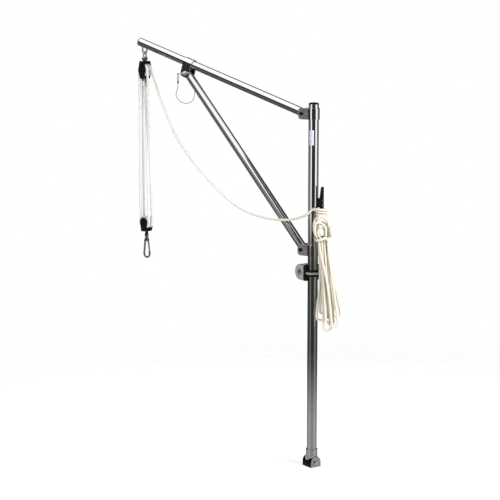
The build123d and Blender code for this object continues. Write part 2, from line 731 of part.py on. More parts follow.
EYE_TOP_Z = LOWER_AXLE_Z + LOWER_CHEEK_END - SIDE_GAP
SWIVEL_ROD_R = SWIVEL_ROD_D / 2
SWIVEL_CENTRE_Z = EYE_TOP_Z - SWIVEL_COLLAR_H - SWIVEL_EYE_R - SWIVEL_ROD_R + 1.0
SWIVEL_BAR_Z = SWIVEL_CENTRE_Z - SWIVEL_EYE_R
HOOK_EYE_ROD_R = HOOK_EYE_ROD_D / 2
HOOK_EYE_Z = SWIVEL_BAR_Z + SWIVEL_ROD_R + SIDE_GAP + HOOK_EYE_ROD_R - HOOK_EYE_R
HOOK_R = HOOK_ROD_D / 2
HOOK_BASE_Z = HOOK_EYE_Z - HOOK_DEPTH
SHOULDER_TOP = HOOK_EYE_Z - HOOK_EYE_R
SHOULDER_Z = SHOULDER_TOP - HOOK_SHOULDER
GATE_HINGE = Vector(EYE_X - HOOK_NECK / 2, 0, SHOULDER_Z + HOOK_SHOULDER * 0.35)
NOSE_TOP = Vector(EYE_X - HOOK_WIDTH / 2 + 1.2, 0, HOOK_BASE_Z + HOOK_NOSE)
GATE_SLOT = GATE_TONGUE / 2 + SIDE_GAP
SHOULDER_HALF = HOOK_R + SIDE_GAP


def swivel_eye():
    """Eye under the lower block on a headed stem that turns in the crosshead."""
    stem = vector_plane(EYE_X, 0, 0)
    top_z = LOWER_AXLE_Z - CROSSHEAD_TOP
    eye = cylinder_from(stem, SWIVEL_HEAD_D / 2, top_z - SWIVEL_HEAD_H, top_z)
    eye += cylinder_from(stem, SWIVEL_D / 2, EYE_TOP_Z, top_z - SWIVEL_HEAD_H)
    eye += cylinder_from(stem, SWIVEL_COLLAR_D / 2, EYE_TOP_Z - SWIVEL_COLLAR_H, EYE_TOP_Z)
    return eye + Pos(EYE_X, 0, SWIVEL_CENTRE_Z) * Rot(0, 90, 0) * Torus(SWIVEL_EYE_R, SWIVEL_ROD_R)


def hook_body():
    """Pear-shaped hook with its own eye, a shoulder slotted for the gate and an open nose."""
    neck, side = HOOK_NECK / 2, HOOK_WIDTH / 2
    points = [(EYE_X + neck, 0, SHOULDER_Z), (EYE_X + side, 0, HOOK_BASE_Z), (EYE_X - side, 0, HOOK_BASE_Z),
              NOSE_TOP]
    body = swept_rod(FilletPolyline(*points, radius=HOOK_BEND_R).wire(), HOOK_R)
    with BuildPart() as shoulder:
        with BuildSketch(across(Vector(EYE_X, 0, 0))):
            with BuildLine():
                Polyline((neck - 3.5, -SHOULDER_TOP - 1), (neck + HOOK_R, -SHOULDER_Z - 3),
                         (neck + HOOK_R, -SHOULDER_Z + 3), (neck - HOOK_R, -SHOULDER_Z + 3),
                         (neck - HOOK_R, -SHOULDER_Z), (-neck - HOOK_R + 0.5, -SHOULDER_Z),
                         (-neck - HOOK_R + 0.5, -SHOULDER_Z - 6), (3.5 - neck, -SHOULDER_TOP - 1), close=True)
            make_face()
        extrude(amount=SHOULDER_HALF, both=True)
        outer_edges = shoulder.edges().group_by(Axis.Y)
        chamfer(outer_edges[0] + outer_edges[-1], HOOK_SHOULDER_EDGE)
    body += shoulder.part
    body += Pos(EYE_X, 0, HOOK_EYE_Z) * Rot(90, 0, 0) * Torus(HOOK_EYE_R, HOOK_EYE_ROD_R)
    slot = Box(HOOK_NECK, 2 * GATE_SLOT, HOOK_SHOULDER * 0.72, align=(Align.MAX, Align.CENTER, Align.MIN))
    body -= Pos(EYE_X, 0, SHOULDER_Z - SIDE_GAP) * slot
    bore = across(GATE_HINGE)
    return body - cylinder_from(bore, GATE_PIN_D / 2 + SEAT, -SHOULDER_HALF, SHOULDER_HALF)


def hook_gate():
    """Sprung gate: a rod from the nose up to a flat tongue on the hinge pin."""
    end = NOSE_TOP + Vector(0, 0, GATE_GAP)
    run = end - GATE_HINGE
    way = run.normalized()
    rod_start = HOOK_SHOULDER * 0.35 + GATE_STEP
    plane = Plane(origin=GATE_HINGE, x_dir=(0, 1, 0), z_dir=way)
    rod = cylinder_from(plane, GATE_ROD_D / 2, rod_start, run.length)
    tongue = Box(GATE_TONGUE, GATE_ROD_D, rod_start + 2, align=(Align.CENTER, Align.CENTER, Align.MIN))
    gate = rod + plane * tongue
    gate += cylinder_from(across(GATE_HINGE), GATE_ROD_D / 2, -GATE_TONGUE / 2, GATE_TONGUE / 2)
    return gate - cylinder_from(across(GATE_HINGE), GATE_PIN_D / 2 + RUNNING, -GATE_TONGUE, GATE_TONGUE)


def gate_pin():
    """Hinge pin of the gate."""
    return cylinder_from(across(GATE_HINGE), GATE_PIN_D / 2, -SHOULDER_HALF, SHOULDER_HALF)


# Deck foot

FOOT_R = FOOT_WIDTH / 2
FOOT_BOLT_PLANE = Plane(origin=(0, 0, FOOT_BOLT_Z), x_dir=(0, 1, 0), z_dir=(1, 0, 0))


def foot_form(clearance):
    """D-shaped bar along X with a flat underside and a round back."""
    with BuildPart() as bar:
        with BuildSketch(Plane.YZ):
            with Locations((0, FOOT_HEIGHT - FOOT_R)):
                Circle(FOOT_R + clearance)
            with Locations((0, (FOOT_HEIGHT - FOOT_R) / 2)):
                Rectangle(FOOT_WIDTH + 2 * clearance, FOOT_HEIGHT - FOOT_R)
            with Locations((0, -FOOT_R)):
                Rectangle(4 * FOOT_R, 2 * FOOT_R, mode=Mode.SUBTRACT)
        extrude(amount=FOOT_LENGTH / 2, both=True)
    return bar.part


def tap_places():
    """Places of the two tapped holes under the foot."""
    return [(0, side * TAP_SPREAD / 2) for side in (1, -1)]


def foot_block():
    """Foot with a round pocket for the mast, a cross bolt hole and tapped holes below."""
    block = foot_form(0)
    end_edges = block.faces().filter_by(Axis.X).edges()
    block = fillet(end_edges, FOOT_EDGE)
    block -= cylinder_from(Plane.XY, SOCKET_BORE, FOOT_POCKET_Z, FOOT_HEIGHT)
    block -= cylinder_from(FOOT_BOLT_PLANE, FOOT_BOLT_D / 2 + SEAT, -FOOT_LENGTH, FOOT_LENGTH)
    for x, y in tap_places():
        block -= cylinder_from(vector_plane(x, y, 0), TAP_D / 2, 0, TAP_DEPTH)
    return FOOT_TURN * block


def foot_socket():
    """Tube that the mast turns in, coped at its lower end to sit on the round back."""
    low_z = FOOT_HEIGHT - FOOT_R / 2
    outer_r = SOCKET_BORE + SOCKET_WALL
    tube = tube_from(Plane.XY, outer_r, SOCKET_WALL, low_z, SOCKET_TOP) - foot_form(SEAT)
    return FOOT_TURN * tube


FOOT_HALF = FOOT_LENGTH / 2


def foot_bolt():
    """Hexagon bolt through the foot's length with its head on the open side."""
    end = FOOT_HALF + PIVOT_NUT_H + PIVOT_THREAD_END
    bolt = cylinder_from(FOOT_BOLT_PLANE, FOOT_BOLT_D / 2, -FOOT_HALF, end)
    head = hexagon_from(FOOT_BOLT_PLANE, PIVOT_HEAD_AF, -FOOT_HALF - PIVOT_HEAD_H, -FOOT_HALF)
    return FOOT_TURN * (bolt + head)


def foot_nut():
    """Nut on the foot bolt's other end."""
    nut = hexagon_from(FOOT_BOLT_PLANE, PIVOT_HEAD_AF, FOOT_HALF, FOOT_HALF + PIVOT_NUT_H)
    return FOOT_TURN * (nut - cylinder_from(FOOT_BOLT_PLANE, FOOT_BOLT_D / 2 + SEAT, 0, 2 * FOOT_HALF))


def thrust_pad():
    """Plastic disc that the mast's foot turns on."""
    return cylinder_from(Plane.XY, MAST_R - SEAT, FOOT_POCKET_Z, MAST_FOOT_Z)


# Rail clamp: two halves that part on the rail's axis and grip the mast's bush

CLAMP_HALF = CLAMP_LENGTH / 2
COLLAR_R = BUSH_R + CLAMP_COLLAR
CLAMP_OUTER = RAIL_OFFSET + CLAMP_R
SCREW_INNER_X = RAIL_OFFSET - RAIL_R - CLAMP_SCREW_D / 2 - 4.0
SCREW_OUTER_X = CLAMP_OUTER - SCREW_EDGE
SCREW_Y = CLAMP_HALF - CLAMP_HEAD_D / 2 - 1.0
HEAD_SEAT_Z = 12.0


def clamp_screw_places():
    """Four screws, two on each side of the rail."""
    return [(x, y) for x in (SCREW_INNER_X, SCREW_OUTER_X) for y in (SCREW_Y, -SCREW_Y)]


def clamp_form():
    """Whole clamp about the rail's height: a round-nosed body along the rail and a mast collar."""
    with BuildPart() as body:
        with BuildSketch(Plane.XZ):
            with Locations((RAIL_OFFSET, 0)):
                Circle(CLAMP_R)
            with Locations((RAIL_OFFSET / 2, 0)):
                Rectangle(RAIL_OFFSET, 2 * CLAMP_R)
        extrude(amount=CLAMP_HALF, both=True)
        fillet(body.edges().filter_by(Axis.Y).group_by(Axis.X)[0], CLAMP_EDGE)
        fillet(body.faces().filter_by(Axis.Y).edges(), CLAMP_EDGE)
    near_mast = cylinder_from(Plane.XY, COLLAR_R, -CLAMP_RING / 2, CLAMP_RING / 2)
    behind = Box(2 * COLLAR_R, 2 * CLAMP_LENGTH, 4 * CLAMP_R, align=(Align.MAX, Align.CENTER, Align.CENTER))
    whole = (body.part - Pos(SCREW_INNER_X - CLAMP_HEAD_D / 2 - 1, 0, 0) * behind) + near_mast
    whole -= cylinder_from(Plane.XY, BUSH_R + SEAT, -CLAMP_R, CLAMP_R)
    rail = Plane(origin=(RAIL_OFFSET, 0, 0), x_dir=(1, 0, 0), z_dir=(0, 1, 0))
    return whole - cylinder_from(rail, RAIL_R, -CLAMP_LENGTH, CLAMP_LENGTH)


def clamp_half(upper):
    """One half, with counterbored screw holes above or tapped ones below."""
    gap = CLAMP_SPLIT / 2
    keep = Box(4 * CLAMP_OUTER, 4 * CLAMP_OUTER, 2 * CLAMP_R, align=(Align.CENTER, Align.CENTER, Align.MIN))
    half = clamp_form() & (Pos(0, 0, gap) * keep if upper else Pos(0, 0, -gap - 2 * CLAMP_R) * keep)
    for x, y in clamp_screw_places():
        half -= cylinder_from(vector_plane(x, y, 0), CLAMP_SCREW_D / 2 + SEAT, -CLAMP_R, CLAMP_R)
        if upper:
            half -= cylinder_from(vector_plane(x, y, 0), CLAMP_HEAD_D / 2 + SIDE_GAP, HEAD_SEAT_Z, CLAMP_R)
    return FOOT_TURN * Pos(0, 0, RAIL_Z) * half


def clamp_screws():
    """Four socket-headed screws that draw the halves together."""
    screws = []
    for x, y in clamp_screw_places():
        plane = vector_plane(x, y, RAIL_Z)
        screw = cylinder_from(plane, CLAMP_SCREW_D / 2, -CLAMP_HEAD_D, HEAD_SEAT_Z)
        head_top = HEAD_SEAT_Z + CLAMP_HEAD_H
        screw += cylinder_from(plane, CLAMP_HEAD_D / 2, HEAD_SEAT_Z, head_top)
        screw -= hexagon_from(plane, CLAMP_SCREW_D * 0.8, head_top - CLAMP_HEAD_H / 2, head_top)
        screws.append(FOOT_TURN * screw)
    return Compound(children=screws)


def clamp_bush():
    """Saddle behind the mast with a ring round it, held in the clamp by the collar's groove."""
    back = SCREW_INNER_X - CLAMP_HEAD_D / 2 - 1 - SEAT
    depth = back - BUSH_BACK
    block = Box(depth, CLAMP_LENGTH, 2 * CLAMP_R, align=(Align.MIN, Align.CENTER, Align.CENTER))
    block = chamfer(block.edges(), BUSH_EDGE)
    saddle = Pos(BUSH_BACK, 0, 0) * block
    behind = cylinder_from(Plane.XY, BUSH_R, -CLAMP_R, CLAMP_R)
    keep = Box(BUSH_R, 2 * BUSH_R, 2 * CLAMP_R, align=(Align.MIN, Align.CENTER, Align.CENTER))
    groove = CLAMP_RING / 2 + SEAT
    saddle -= cylinder_from(Plane.XY, COLLAR_R + SEAT, -groove, groove)
    saddle += behind & (Pos(BUSH_BACK, 0, 0) * keep)
    saddle += cylinder_from(Plane.XY, BUSH_R, -BUSH_RING / 2, BUSH_RING / 2)
    saddle -= cylinder_from(Plane.XY, MAST_R + RUNNING, -CLAMP_R, CLAMP_R)
    return FOOT_TURN * Pos(0, 0, RAIL_Z) * saddle


# Cleat

CLEAT_INNER = MAST_R + CLEAT_STANDOFF
CLEAT_OUTER = CLEAT_INNER + CLEAT_HORN
CLEAT_MID_X = -(CLEAT_INNER + CLEAT_OUTER) / 2


def cleat_screw_heights():
    """Heights of the cleat's two screws."""
    return [CLEAT_Z + side * CLEAT_SCREW_PITCH / 2 for side in (1, -1)]


def cleat_bore(z, radius):
    """Hole for a cleat screw, from inside the mast out to the cleat's face."""
    plane = Plane(origin=(0, 0, z), x_dir=(0, 1, 0), z_dir=(-1, 0, 0))
    return cylinder_from(plane, radius, MAST_R / 2, CLEAT_OUTER + CLEAT_EDGE)


def cleat():
    """Two-horned cleat whose stem is hollowed to sit on the mast."""
    stem = CLEAT_STEM / 2
    upper_x, upper_z = -CLEAT_INNER - CLEAT_LEAN, CLEAT_Z + CLEAT_UPPER_HORN
    lower_z = CLEAT_Z - CLEAT_LOWER_HORN
    with BuildPart() as body:
        with BuildSketch(Plane.XZ):
            with BuildLine():
                Polyline((-MAST_R * 0.8, CLEAT_Z - stem), (-MAST_R * 0.8, CLEAT_Z + stem),
                         (-CLEAT_INNER, CLEAT_Z + stem), (upper_x, upper_z), (upper_x - CLEAT_TIP, upper_z),
                         (-CLEAT_OUTER, CLEAT_Z + stem), (-CLEAT_OUTER, CLEAT_Z - stem),
                         (-CLEAT_OUTER + CLEAT_LEAN / 3, lower_z), (-CLEAT_INNER - CLEAT_LEAN / 3, lower_z),
                         (-CLEAT_INNER, CLEAT_Z - stem), close=True)
            make_face()
        extrude(amount=CLEAT_WIDTH / 2, both=True)
        tips = body.edges().filter_by(Axis.Y)
        fillet(tips.group_by(Axis.Z)[0] + tips.group_by(Axis.Z)[-1], CLEAT_TIP * 0.45)
        side_faces = body.faces().filter_by(Axis.Y)
        fillet(side_faces.edges(), CLEAT_EDGE)
    hollow = body.part - cylinder_from(Plane.XY, MAST_R + SEAT, 0, MAST_TOP)
    for z in cleat_screw_heights():
        hollow -= cleat_bore(z, CLEAT_SCREW_D / 2 + SEAT)
    return hollow


def cleat_screws():
    """Two screws through the cleat's stem into the mast."""
    screws = []
    for z in cleat_screw_heights():
        plane = Plane(origin=(0, 0, z), x_dir=(0, 1, 0), z_dir=(-1, 0, 0))
        screw = cylinder_from(plane, CLEAT_SCREW_D / 2, MAST_R - MAST_WALL - 3, CLEAT_OUTER)
        screws.append(screw + cylinder_from(plane, CLEAT_HEAD_D / 2, CLEAT_OUTER, CLEAT_OUTER + 2.2))
    return Compound(children=screws)


# Rope routes

def corner_radii(points):
    """Radius for each inner point: as large as its two runs allow."""
    radii = []
    for before, here, after in zip(points, points[1:], points[2:]):
        back, ahead = here - before, after - here
        half_turn = math.radians(back.get_angle(ahead)) / 2
        radii.append(0.45 * min(back.length, ahead.length) / math.tan(half_turn))
    return radii


def cord(name, points, diameter):
    """Tube along a route of straight runs joined by tangent arcs."""
    radii = corner_radii(points)
    path = FilletPolyline(*points, radius=radii).wire()
    tube = swept_rod(path, diameter / 2)
    section = math.pi * diameter ** 2 / 4
    print(name, "radii", [round(r) for r in radii], "length", round(path.length),
          "volume share", round(tube.volume / (section * path.length), 4))
    return tube


def quarter_biarcs(knots):
    """Path through knots, each a point and a heading, with two tangent arcs between neighbours."""
    edges = []
    for (start, out), (end, into) in zip(knots, knots[1:]):
        chord = end - start
        spread = out + into
        square = spread.dot(spread) - 4
        along = chord.dot(spread)
        if abs(square) < 1e-6:
            reach = chord.dot(chord) / (2 * along)
        else:
            reach = (along - math.sqrt(along ** 2 - square * chord.dot(chord))) / square
        joint = (start + out * reach + end - into * reach) * 0.5
        edges.append(arc_or_line(start, out, joint))
        middle = (end - into * reach - start - out * reach).normalized()
        edges.append(arc_or_line(joint, middle, end))
    return Wire(edges)


def arc_or_line(start, heading, end):
    """Arc that leaves a point on a heading, or a line where the heading already meets the end."""
    if heading.cross((end - start).normalized()).length < 1e-7:
        return Edge.make_line(start, end)
    return Edge.make_tangent_arc(start, heading, end)


def least_self_gap(wire, diameter, step=3.0):
    """Smallest gap between stretches of one tube that are more than two diameters apart along it."""
    count = int(wire.length / step)
    points = [wire.position_at(i / count) for i in range(count + 1)]
    apart = int(2.5 * diameter / step) + 1
    least = min((points[i] - points[j]).length for i in range(count) for j in range(i + apart, count + 1))
    return least - diameter


TURN_X = -(MAST_R + SIDE_GAP + ROPE_R + TURN_HALF_X)
TURN_START = 90.0


def turn_knot(angle):
    """Point and heading on the rope's turns round the cleat's lower horn."""
    t = math.radians(angle)
    z = TURN_TOP_Z - TURN_PITCH * (angle - TURN_START) / 360
    point = Vector(TURN_X + TURN_HALF_X * math.cos(t), TURN_HALF_Y * math.sin(t), z)
    fall = -TURN_PITCH / (2 * math.pi)
    return point, Vector(-TURN_HALF_X * math.sin(t), TURN_HALF_Y * math.cos(t), fall).normalized()


FACING = math.radians(HANK_FACING)
HANK_SIDE = Vector(-math.cos(FACING), -math.sin(FACING), 0)
HANK_FRONT = Vector(-math.sin(FACING), math.cos(FACING), 0)
DOWN = Vector(0, 0, -1)
UP = Vector(0, 0, 1)
WAIST_INNER = HANK_PITCH / 2
WAIST_OUTER = HANK_PITCH * 1.5


def hank_point(side, layer, z, pitch):
    """Point of the hank from its offset to the side, its layer and its height."""
    lean = (HANK_TOP_Z - z) / (HANK_TOP_Z - HANK_BOTTOM_Z)
    centre = HANK_TOP_SIDE + (HANK_LOW_SIDE - HANK_TOP_SIDE) * lean
    depth = HANK_OUT + (layer - (HANK_LAYERS - 1) / 2) * pitch
    return HANK_SIDE * (centre + side) + HANK_FRONT * depth + UP * z


def hank_loop(outer, layer):
    """Knots of one loop: past the waist, out to its layer's side, round the foot and back up."""
    nest = 0 if outer else HANK_PITCH + HANK_FAN / 2
    waist = WAIST_OUTER if outer else WAIST_INNER
    swing = HANK_SWINGS[layer]
    half = HANK_HALVES[layer] - nest
    foot_z = HANK_BOTTOM_Z + nest + HANK_DROPS[layer]
    fan = HANK_PITCH + HANK_FAN
    return [
        (hank_point(-waist, layer, HANK_WAIST_Z, HANK_PITCH), DOWN),
        (hank_point(swing - half, layer, foot_z + half, fan), DOWN),
        (hank_point(swing, layer, foot_z, fan), HANK_SIDE),
        (hank_point(swing + half, layer, foot_z + half, fan), UP),
        (hank_point(waist, layer, HANK_WAIST_Z, HANK_PITCH), UP),
    ]


HANK_SHOULDER_Z = HANK_TOP_Z - HANK_TOP_HALF
HANK_START = hank_point(-HANK_TOP_HALF, 0, HANK_SHOULDER_Z + ROPE_D, HANK_TOP_DEPTH)


def hank_top(right, left, layer, next_layer):
    """Knots of the turn over the top of the hank, which may climb to the next layer on its way."""
    right_half = HANK_TOP_HALF - (0 if right else HANK_TOP_NEST)
    left_half = HANK_TOP_HALF - (0 if left else HANK_TOP_NEST)
    climbs = next_layer != layer
    if climbs:
        crown = HANK_CROWNS["climb out" if right else "climb in"]
    else:
        crown = HANK_CROWNS["in" if right else "out"]
    middle = layer + (HANK_CLIMB if climbs else 0)
    centre = (right_half - left_half) / 2
    return [
        (hank_point(right_half, layer, HANK_SHOULDER_Z, HANK_TOP_DEPTH), UP),
        (hank_point(centre, middle, HANK_TOP_Z + crown * HANK_TOP_NEST, HANK_TOP_DEPTH), -HANK_SIDE),
        (hank_point(-left_half, next_layer, HANK_SHOULDER_Z, HANK_TOP_DEPTH), DOWN),
    ]


def hank_knots():
    """All the hank's knots: its layers spiral in and out by turns."""
    order = []
    for layer in range(HANK_LAYERS):
        pair = (True, False) if layer % 2 == 0 else (False, True)
        order += [(outer, layer) for outer in pair]
    knots = [(HANK_START, DOWN), (HANK_START + DOWN * ROPE_D, DOWN)]
    for (outer, layer), following in zip(order, order[1:] + [None]):
        knots += hank_loop(outer, layer)
        if following:
            knots += hank_top(outer, following[0], layer, following[1])
    return knots + [(knots[-1][0] + UP * ROPE_D, UP)]


def rope_hank():
    """The spare rope, looped and hung from the cleat as one unbroken length."""
    wire = quarter_biarcs(hank_knots())
    print("rope_hank length", round(wire.length), "least gap", round(least_self_gap(wire, ROPE_D), 2))
    return swept_rod(wire, ROPE_R)


def cleat_turns():
    """Turns round the lower horn and the tail that drops into the hank."""
    quarters = int(TURN_COUNT * 4)
    knots = [turn_knot(TURN_START)]
    knots[0] = (knots[0][0], Vector(-1, 0, 0))
    knots += [turn_knot(TURN_START + 90 * i) for i in range(1, quarters + 1)]
    knots += [(HANK_START, DOWN)]
    wire = quarter_biarcs(knots)
    print("cleat_turns length", round(wire.length), "least gap", round(least_self_gap(wire, ROPE_D), 2))
    return swept_rod(wire, ROPE_R)


HAUL_OUT = Vector(-math.cos(HAUL_SLOPE), 0, math.sin(HAUL_SLOPE))
HAUL_START = Vector(EYE_X, FAR_Y, UPPER_AXLE_Z) + HAUL_OUT * ROPE_LAY_R
HAUL_WAY = Vector(-math.sin(HAUL_SLOPE), 0, -math.cos(HAUL_SLOPE))
HAUL_FIRST_RUN = 112.0
HAUL_LAST_RUN = 40.0
HAUL_POINTS = [
    Vector(705, -5, 1284),
    Vector(648, -1, 1196),
    Vector(560, 4, 1110),
    Vector(478, 9, 1046),
    Vector(376, 15, 977),
    Vector(284, 21, 943),
    Vector(198, 25, 931),
    Vector(125, 28, 930),
    Vector(58, 29, 940),
    Vector(2, 29, 962),
]


def hauling_line():
    """Slack line from the upper block past the strut and the mast to the cleat."""
    end = turn_knot(TURN_START)[0]
    points = [HAUL_START, HAUL_START + HAUL_WAY * HAUL_FIRST_RUN] + HAUL_POINTS
    return cord("hauling_line", points + [end + Vector(HAUL_LAST_RUN * 0.7, 0, 0), end], ROPE_D)


# Lanyard

LOOP_X = PIN_RING_R * 0.7
LOOP_DIP = LOOP_X * math.tan(math.radians(PIN_RING_TILT))
LOOP_SEAT = RING_CENTRE + Vector(LOOP_X, PIN_RING_R * 0.7, -LOOP_DIP)
FERRULE_TOP = LOOP_SEAT - Vector(0, 0, LOOP_HEIGHT)
ANCHOR = STRUT_PIN + Vector(-9, -SADDLE_OUTER - FERRULE_D / 2 - SEAT, -5)
LANYARD_POINTS = [
    Vector(633, 34, 1378),
    Vector(622, 21, 1354),
    Vector(605, 8, 1345),
    Vector(589, -6, 1349),
    Vector(580, -17, 1366),
    Vector(580, -22, 1390),
]


def lanyard_ferrule():
    """Wire loop through the pull ring, closed by a pressed ferrule."""
    half = PIN_RING_D / 2 + LANYARD_D / 2 + SIDE_GAP
    top = LOOP_SEAT.Z + PIN_RING_D / 2 + SIDE_GAP + LANYARD_D / 2
    x, y = LOOP_SEAT.X, LOOP_SEAT.Y
    across_ring = Vector(1, 1, 0).normalized() * half
    left, right = Vector(x, y, 0) - across_ring, Vector(x, y, 0) + across_ring
    bend_z = top - half
    with BuildLine() as path:
        Line(left + UP * FERRULE_TOP.Z, left + UP * bend_z)
        ThreePointArc(left + UP * bend_z, Vector(x, y, top), right + UP * bend_z)
        Line(right + UP * bend_z, right + UP * FERRULE_TOP.Z)
    loop = swept_rod(path.wire(), LANYARD_D / 2)
    ferrule = vector_plane(x, y, FERRULE_TOP.Z)
    return loop + cylinder_from(ferrule, FERRULE_D / 2 + 0.6, -FERRULE_LENGTH, SIDE_GAP)


def lanyard_anchor():
    """Ferrule that fixes the lanyard's other end to the saddle's far ear."""
    return cylinder_from(vector_plane(ANCHOR.X, ANCHOR.Y, ANCHOR.Z), FERRULE_D / 2, -FERRULE_LENGTH, 0)


def pin_lanyard():
    """Wire lanyard that hangs from the ring, under the saddle and up to the far ear."""
    start = FERRULE_TOP - UP * FERRULE_LENGTH
    end = ANCHOR - UP * FERRULE_LENGTH
    first = start - UP * FERRULE_LENGTH * 1.8
    last = end - UP * FERRULE_LENGTH * 1.8
    return cord("pin_lanyard", [start, first] + LANYARD_POINTS + [last, end], LANYARD_D)


def all_pieces():
    """Every piece of the boom under its node's name."""
    mast_cap = Pos(0, 0, MAST_TOP) * dome_plug(MAST_R, MAST_WALL)
    tip_plane = tube_axis(BOOM_PIVOT + BOOM_DIR * BOOM_LENGTH, BOOM_DIR)
    return {
        "foot_block": foot_block(),
        "foot_socket": foot_socket(),
        "foot_bolt": foot_bolt(),
        "foot_nut": foot_nut(),
        "thrust_pad": thrust_pad(),
        "clamp_upper": clamp_half(True),
        "clamp_lower": clamp_half(False),
        "clamp_screws": clamp_screws(),
        "clamp_bush": clamp_bush(),
        "mast_tube": mast_tube(),
        "mast_cap": mast_cap,
        "boom_bracket": mast_bracket(BOOM_PIVOT),
        "strut_bracket": mast_bracket(STRUT_PIVOT),
        "pivot_bolts": at_pivots(pivot_bolt),
        "pivot_nuts": at_pivots(pivot_nut),
        "pivot_washers": pivot_washers(),
        "boom_tube": boom_tube(),
        "boom_tip_plug": tip_plane * dome_plug(BOOM_R, BOOM_WALL),
        "boom_saddle": boom_saddle(),
        "strut_tube": strut_tube(),
        "tip_eye": tip_eye(),
        "cleat": cleat(),
        "cleat_screws": cleat_screws(),
        "pin_shank": pin_shank(),
        "pin_ring": pin_ring(),
        "pin_balls": pin_balls(),
        "pin_lanyard": pin_lanyard(),
        "lanyard_ferrule": lanyard_ferrule(),
        "lanyard_anchor": lanyard_anchor(),
        "shackle_bow": shackle_bow(),
        "shackle_pin": shackle_pin(),
        "upper_near_cheek": upper_cheek(1),
        "upper_far_cheek": upper_cheek(-1),
        "upper_lug_plate": upper_lug_plate(),
        "upper_axle": block_axle(UPPER_PLANE),
        "upper_tie_pin": upper_tie_pin(),
        "upper_spacers": upper_spacers(),
        "upper_sheave_near": sheave(UPPER_AXLE_Z, NEAR_Y),
        "upper_sheave_far": sheave(UPPER_AXLE_Z, FAR_Y),
        "lower_near_cheek": lower_cheek(1),
        "lower_far_cheek": lower_cheek(-1),
        "lower_centre_plate": lower_centre_plate(),
        "lower_axle": block_axle(LOWER_PLANE),
        "lower_crosshead": lower_crosshead(),
        "lower_tie_pins": lower_tie_pins(),
        "lower_sheave_near": sheave(LOWER_AXLE_Z, NEAR_Y),
        "lower_sheave_far": sheave(LOWER_AXLE_Z, FAR_Y),
        "swivel_eye": swivel_eye(),
        "hook_body": hook_body(),
        "hook_gate": hook_gate(),
        "gate_pin": gate_pin(),
        "becket_splice": becket_splice(),
        "becket_fall": becket_fall(),
        "tackle_falls": tackle_falls(),
        "upper_rope_turns": upper_rope_turns(),
        "lower_rope_turns": lower_rope_turns(),
        "hauling_line": hauling_line(),
        "cleat_turns": cleat_turns(),
        "rope_hank": rope_hank(),
    }


os.makedirs("parts", exist_ok=True)
for node, shape in all_pieces().items():
    export_step(shape, "parts/" + node + ".step")
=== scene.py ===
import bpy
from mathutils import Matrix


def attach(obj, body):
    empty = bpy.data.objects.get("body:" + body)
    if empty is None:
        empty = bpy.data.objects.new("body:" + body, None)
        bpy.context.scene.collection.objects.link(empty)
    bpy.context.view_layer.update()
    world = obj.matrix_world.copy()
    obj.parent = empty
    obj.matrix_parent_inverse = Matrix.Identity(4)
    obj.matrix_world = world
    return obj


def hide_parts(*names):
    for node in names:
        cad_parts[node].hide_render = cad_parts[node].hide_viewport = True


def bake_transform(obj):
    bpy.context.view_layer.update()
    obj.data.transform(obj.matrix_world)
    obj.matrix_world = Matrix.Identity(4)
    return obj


bl_info = {
    "name": "Cargo Boom",
    "version": (1, 0, 0),
    "blender": (4, 5, 0),
    "location": "View3D > Sidebar > Boom",
    "description": "Builds the finished surfaces of a rail-mounted cargo boom",
    "category": "Object",
}

import bmesh
import bpy
import numpy as np
from bpy.props import FloatProperty, FloatVectorProperty, IntProperty, PointerProperty
from mathutils import Vector

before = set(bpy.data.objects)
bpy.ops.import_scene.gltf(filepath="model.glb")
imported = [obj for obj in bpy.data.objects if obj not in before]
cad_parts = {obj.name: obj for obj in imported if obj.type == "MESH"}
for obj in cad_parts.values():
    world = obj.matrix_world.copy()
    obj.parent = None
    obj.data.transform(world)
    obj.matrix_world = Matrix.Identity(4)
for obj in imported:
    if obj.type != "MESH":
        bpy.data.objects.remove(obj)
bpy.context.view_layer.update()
MM = 0.001
TURN = 2 * np.pi
X, Y, Z = np.eye(3)
SHARP_FROM = np.radians(38)
SOLID_SHARP_FROM = np.radians(28)

# Sizes in millimetres, the same as the solids'
MAST_R = 19.05
MAST_WALL = 2.1
MAST_LOW = 34.0
MAST_TOP = 1366.0
BOOM_END = 836.0
BOOM_R = 15.875
BOOM_WALL = 1.65
TUBE_PAST_PIVOT = 11.0
SEAT = 0.05
SHEET = 3.0
STRAP_LENGTH = 42.0
EAR_PAST_PIVOT = 15.0
SADDLE_REACH = 55.0
MAST_STRAP_R = MAST_R + SEAT + SHEET
SADDLE_R = BOOM_R + SEAT + SHEET
RISE = np.radians(17.3)
BOOM_DIR = np.array([np.cos(RISE), 0, np.sin(RISE)])
BOOM_DOWN = np.array([np.sin(RISE), 0, -np.cos(RISE)])
BOOM_PIVOT = np.array([40.0, 0, 1331.0])
STRUT_PIVOT = np.array([40.0, 0, 826.0])
SADDLE_AT = BOOM_PIVOT + 572 * BOOM_DIR
STRUT_PIN = SADDLE_AT + 40 * BOOM_DOWN
STRUT_LENGTH = np.linalg.norm(STRUT_PIN - STRUT_PIVOT)
STRUT_DIR = (STRUT_PIN - STRUT_PIVOT) / STRUT_LENGTH
BOLT_R = 4.0
BOLT_HEAD = 13.0
BOLT_BORE = 4.05
PIN_COLLAR_Y = SADDLE_R + 0.3
PIN_HEAD_Y = PIN_COLLAR_Y + 4
RING_R = 12.0
RING_ROD = 1.4
RING_TILT = np.radians(12)
RING_Y = PIN_HEAD_Y + 4.95 + RING_R
WIRE_R = 1.0
EYE_FOOT = BOOM_PIVOT + 809 * BOOM_DIR + BOOM_R * BOOM_DOWN
EYE_X = EYE_FOOT[0]
EYE_Z = EYE_FOOT[2] - 22
EYE_BEND_R = 11.0
EYE_ROD = 3.175
SHACKLE_HALF = 8.0
SHACKLE_ROD = 3.0
BLOCK_PIN_Z = EYE_Z - 20
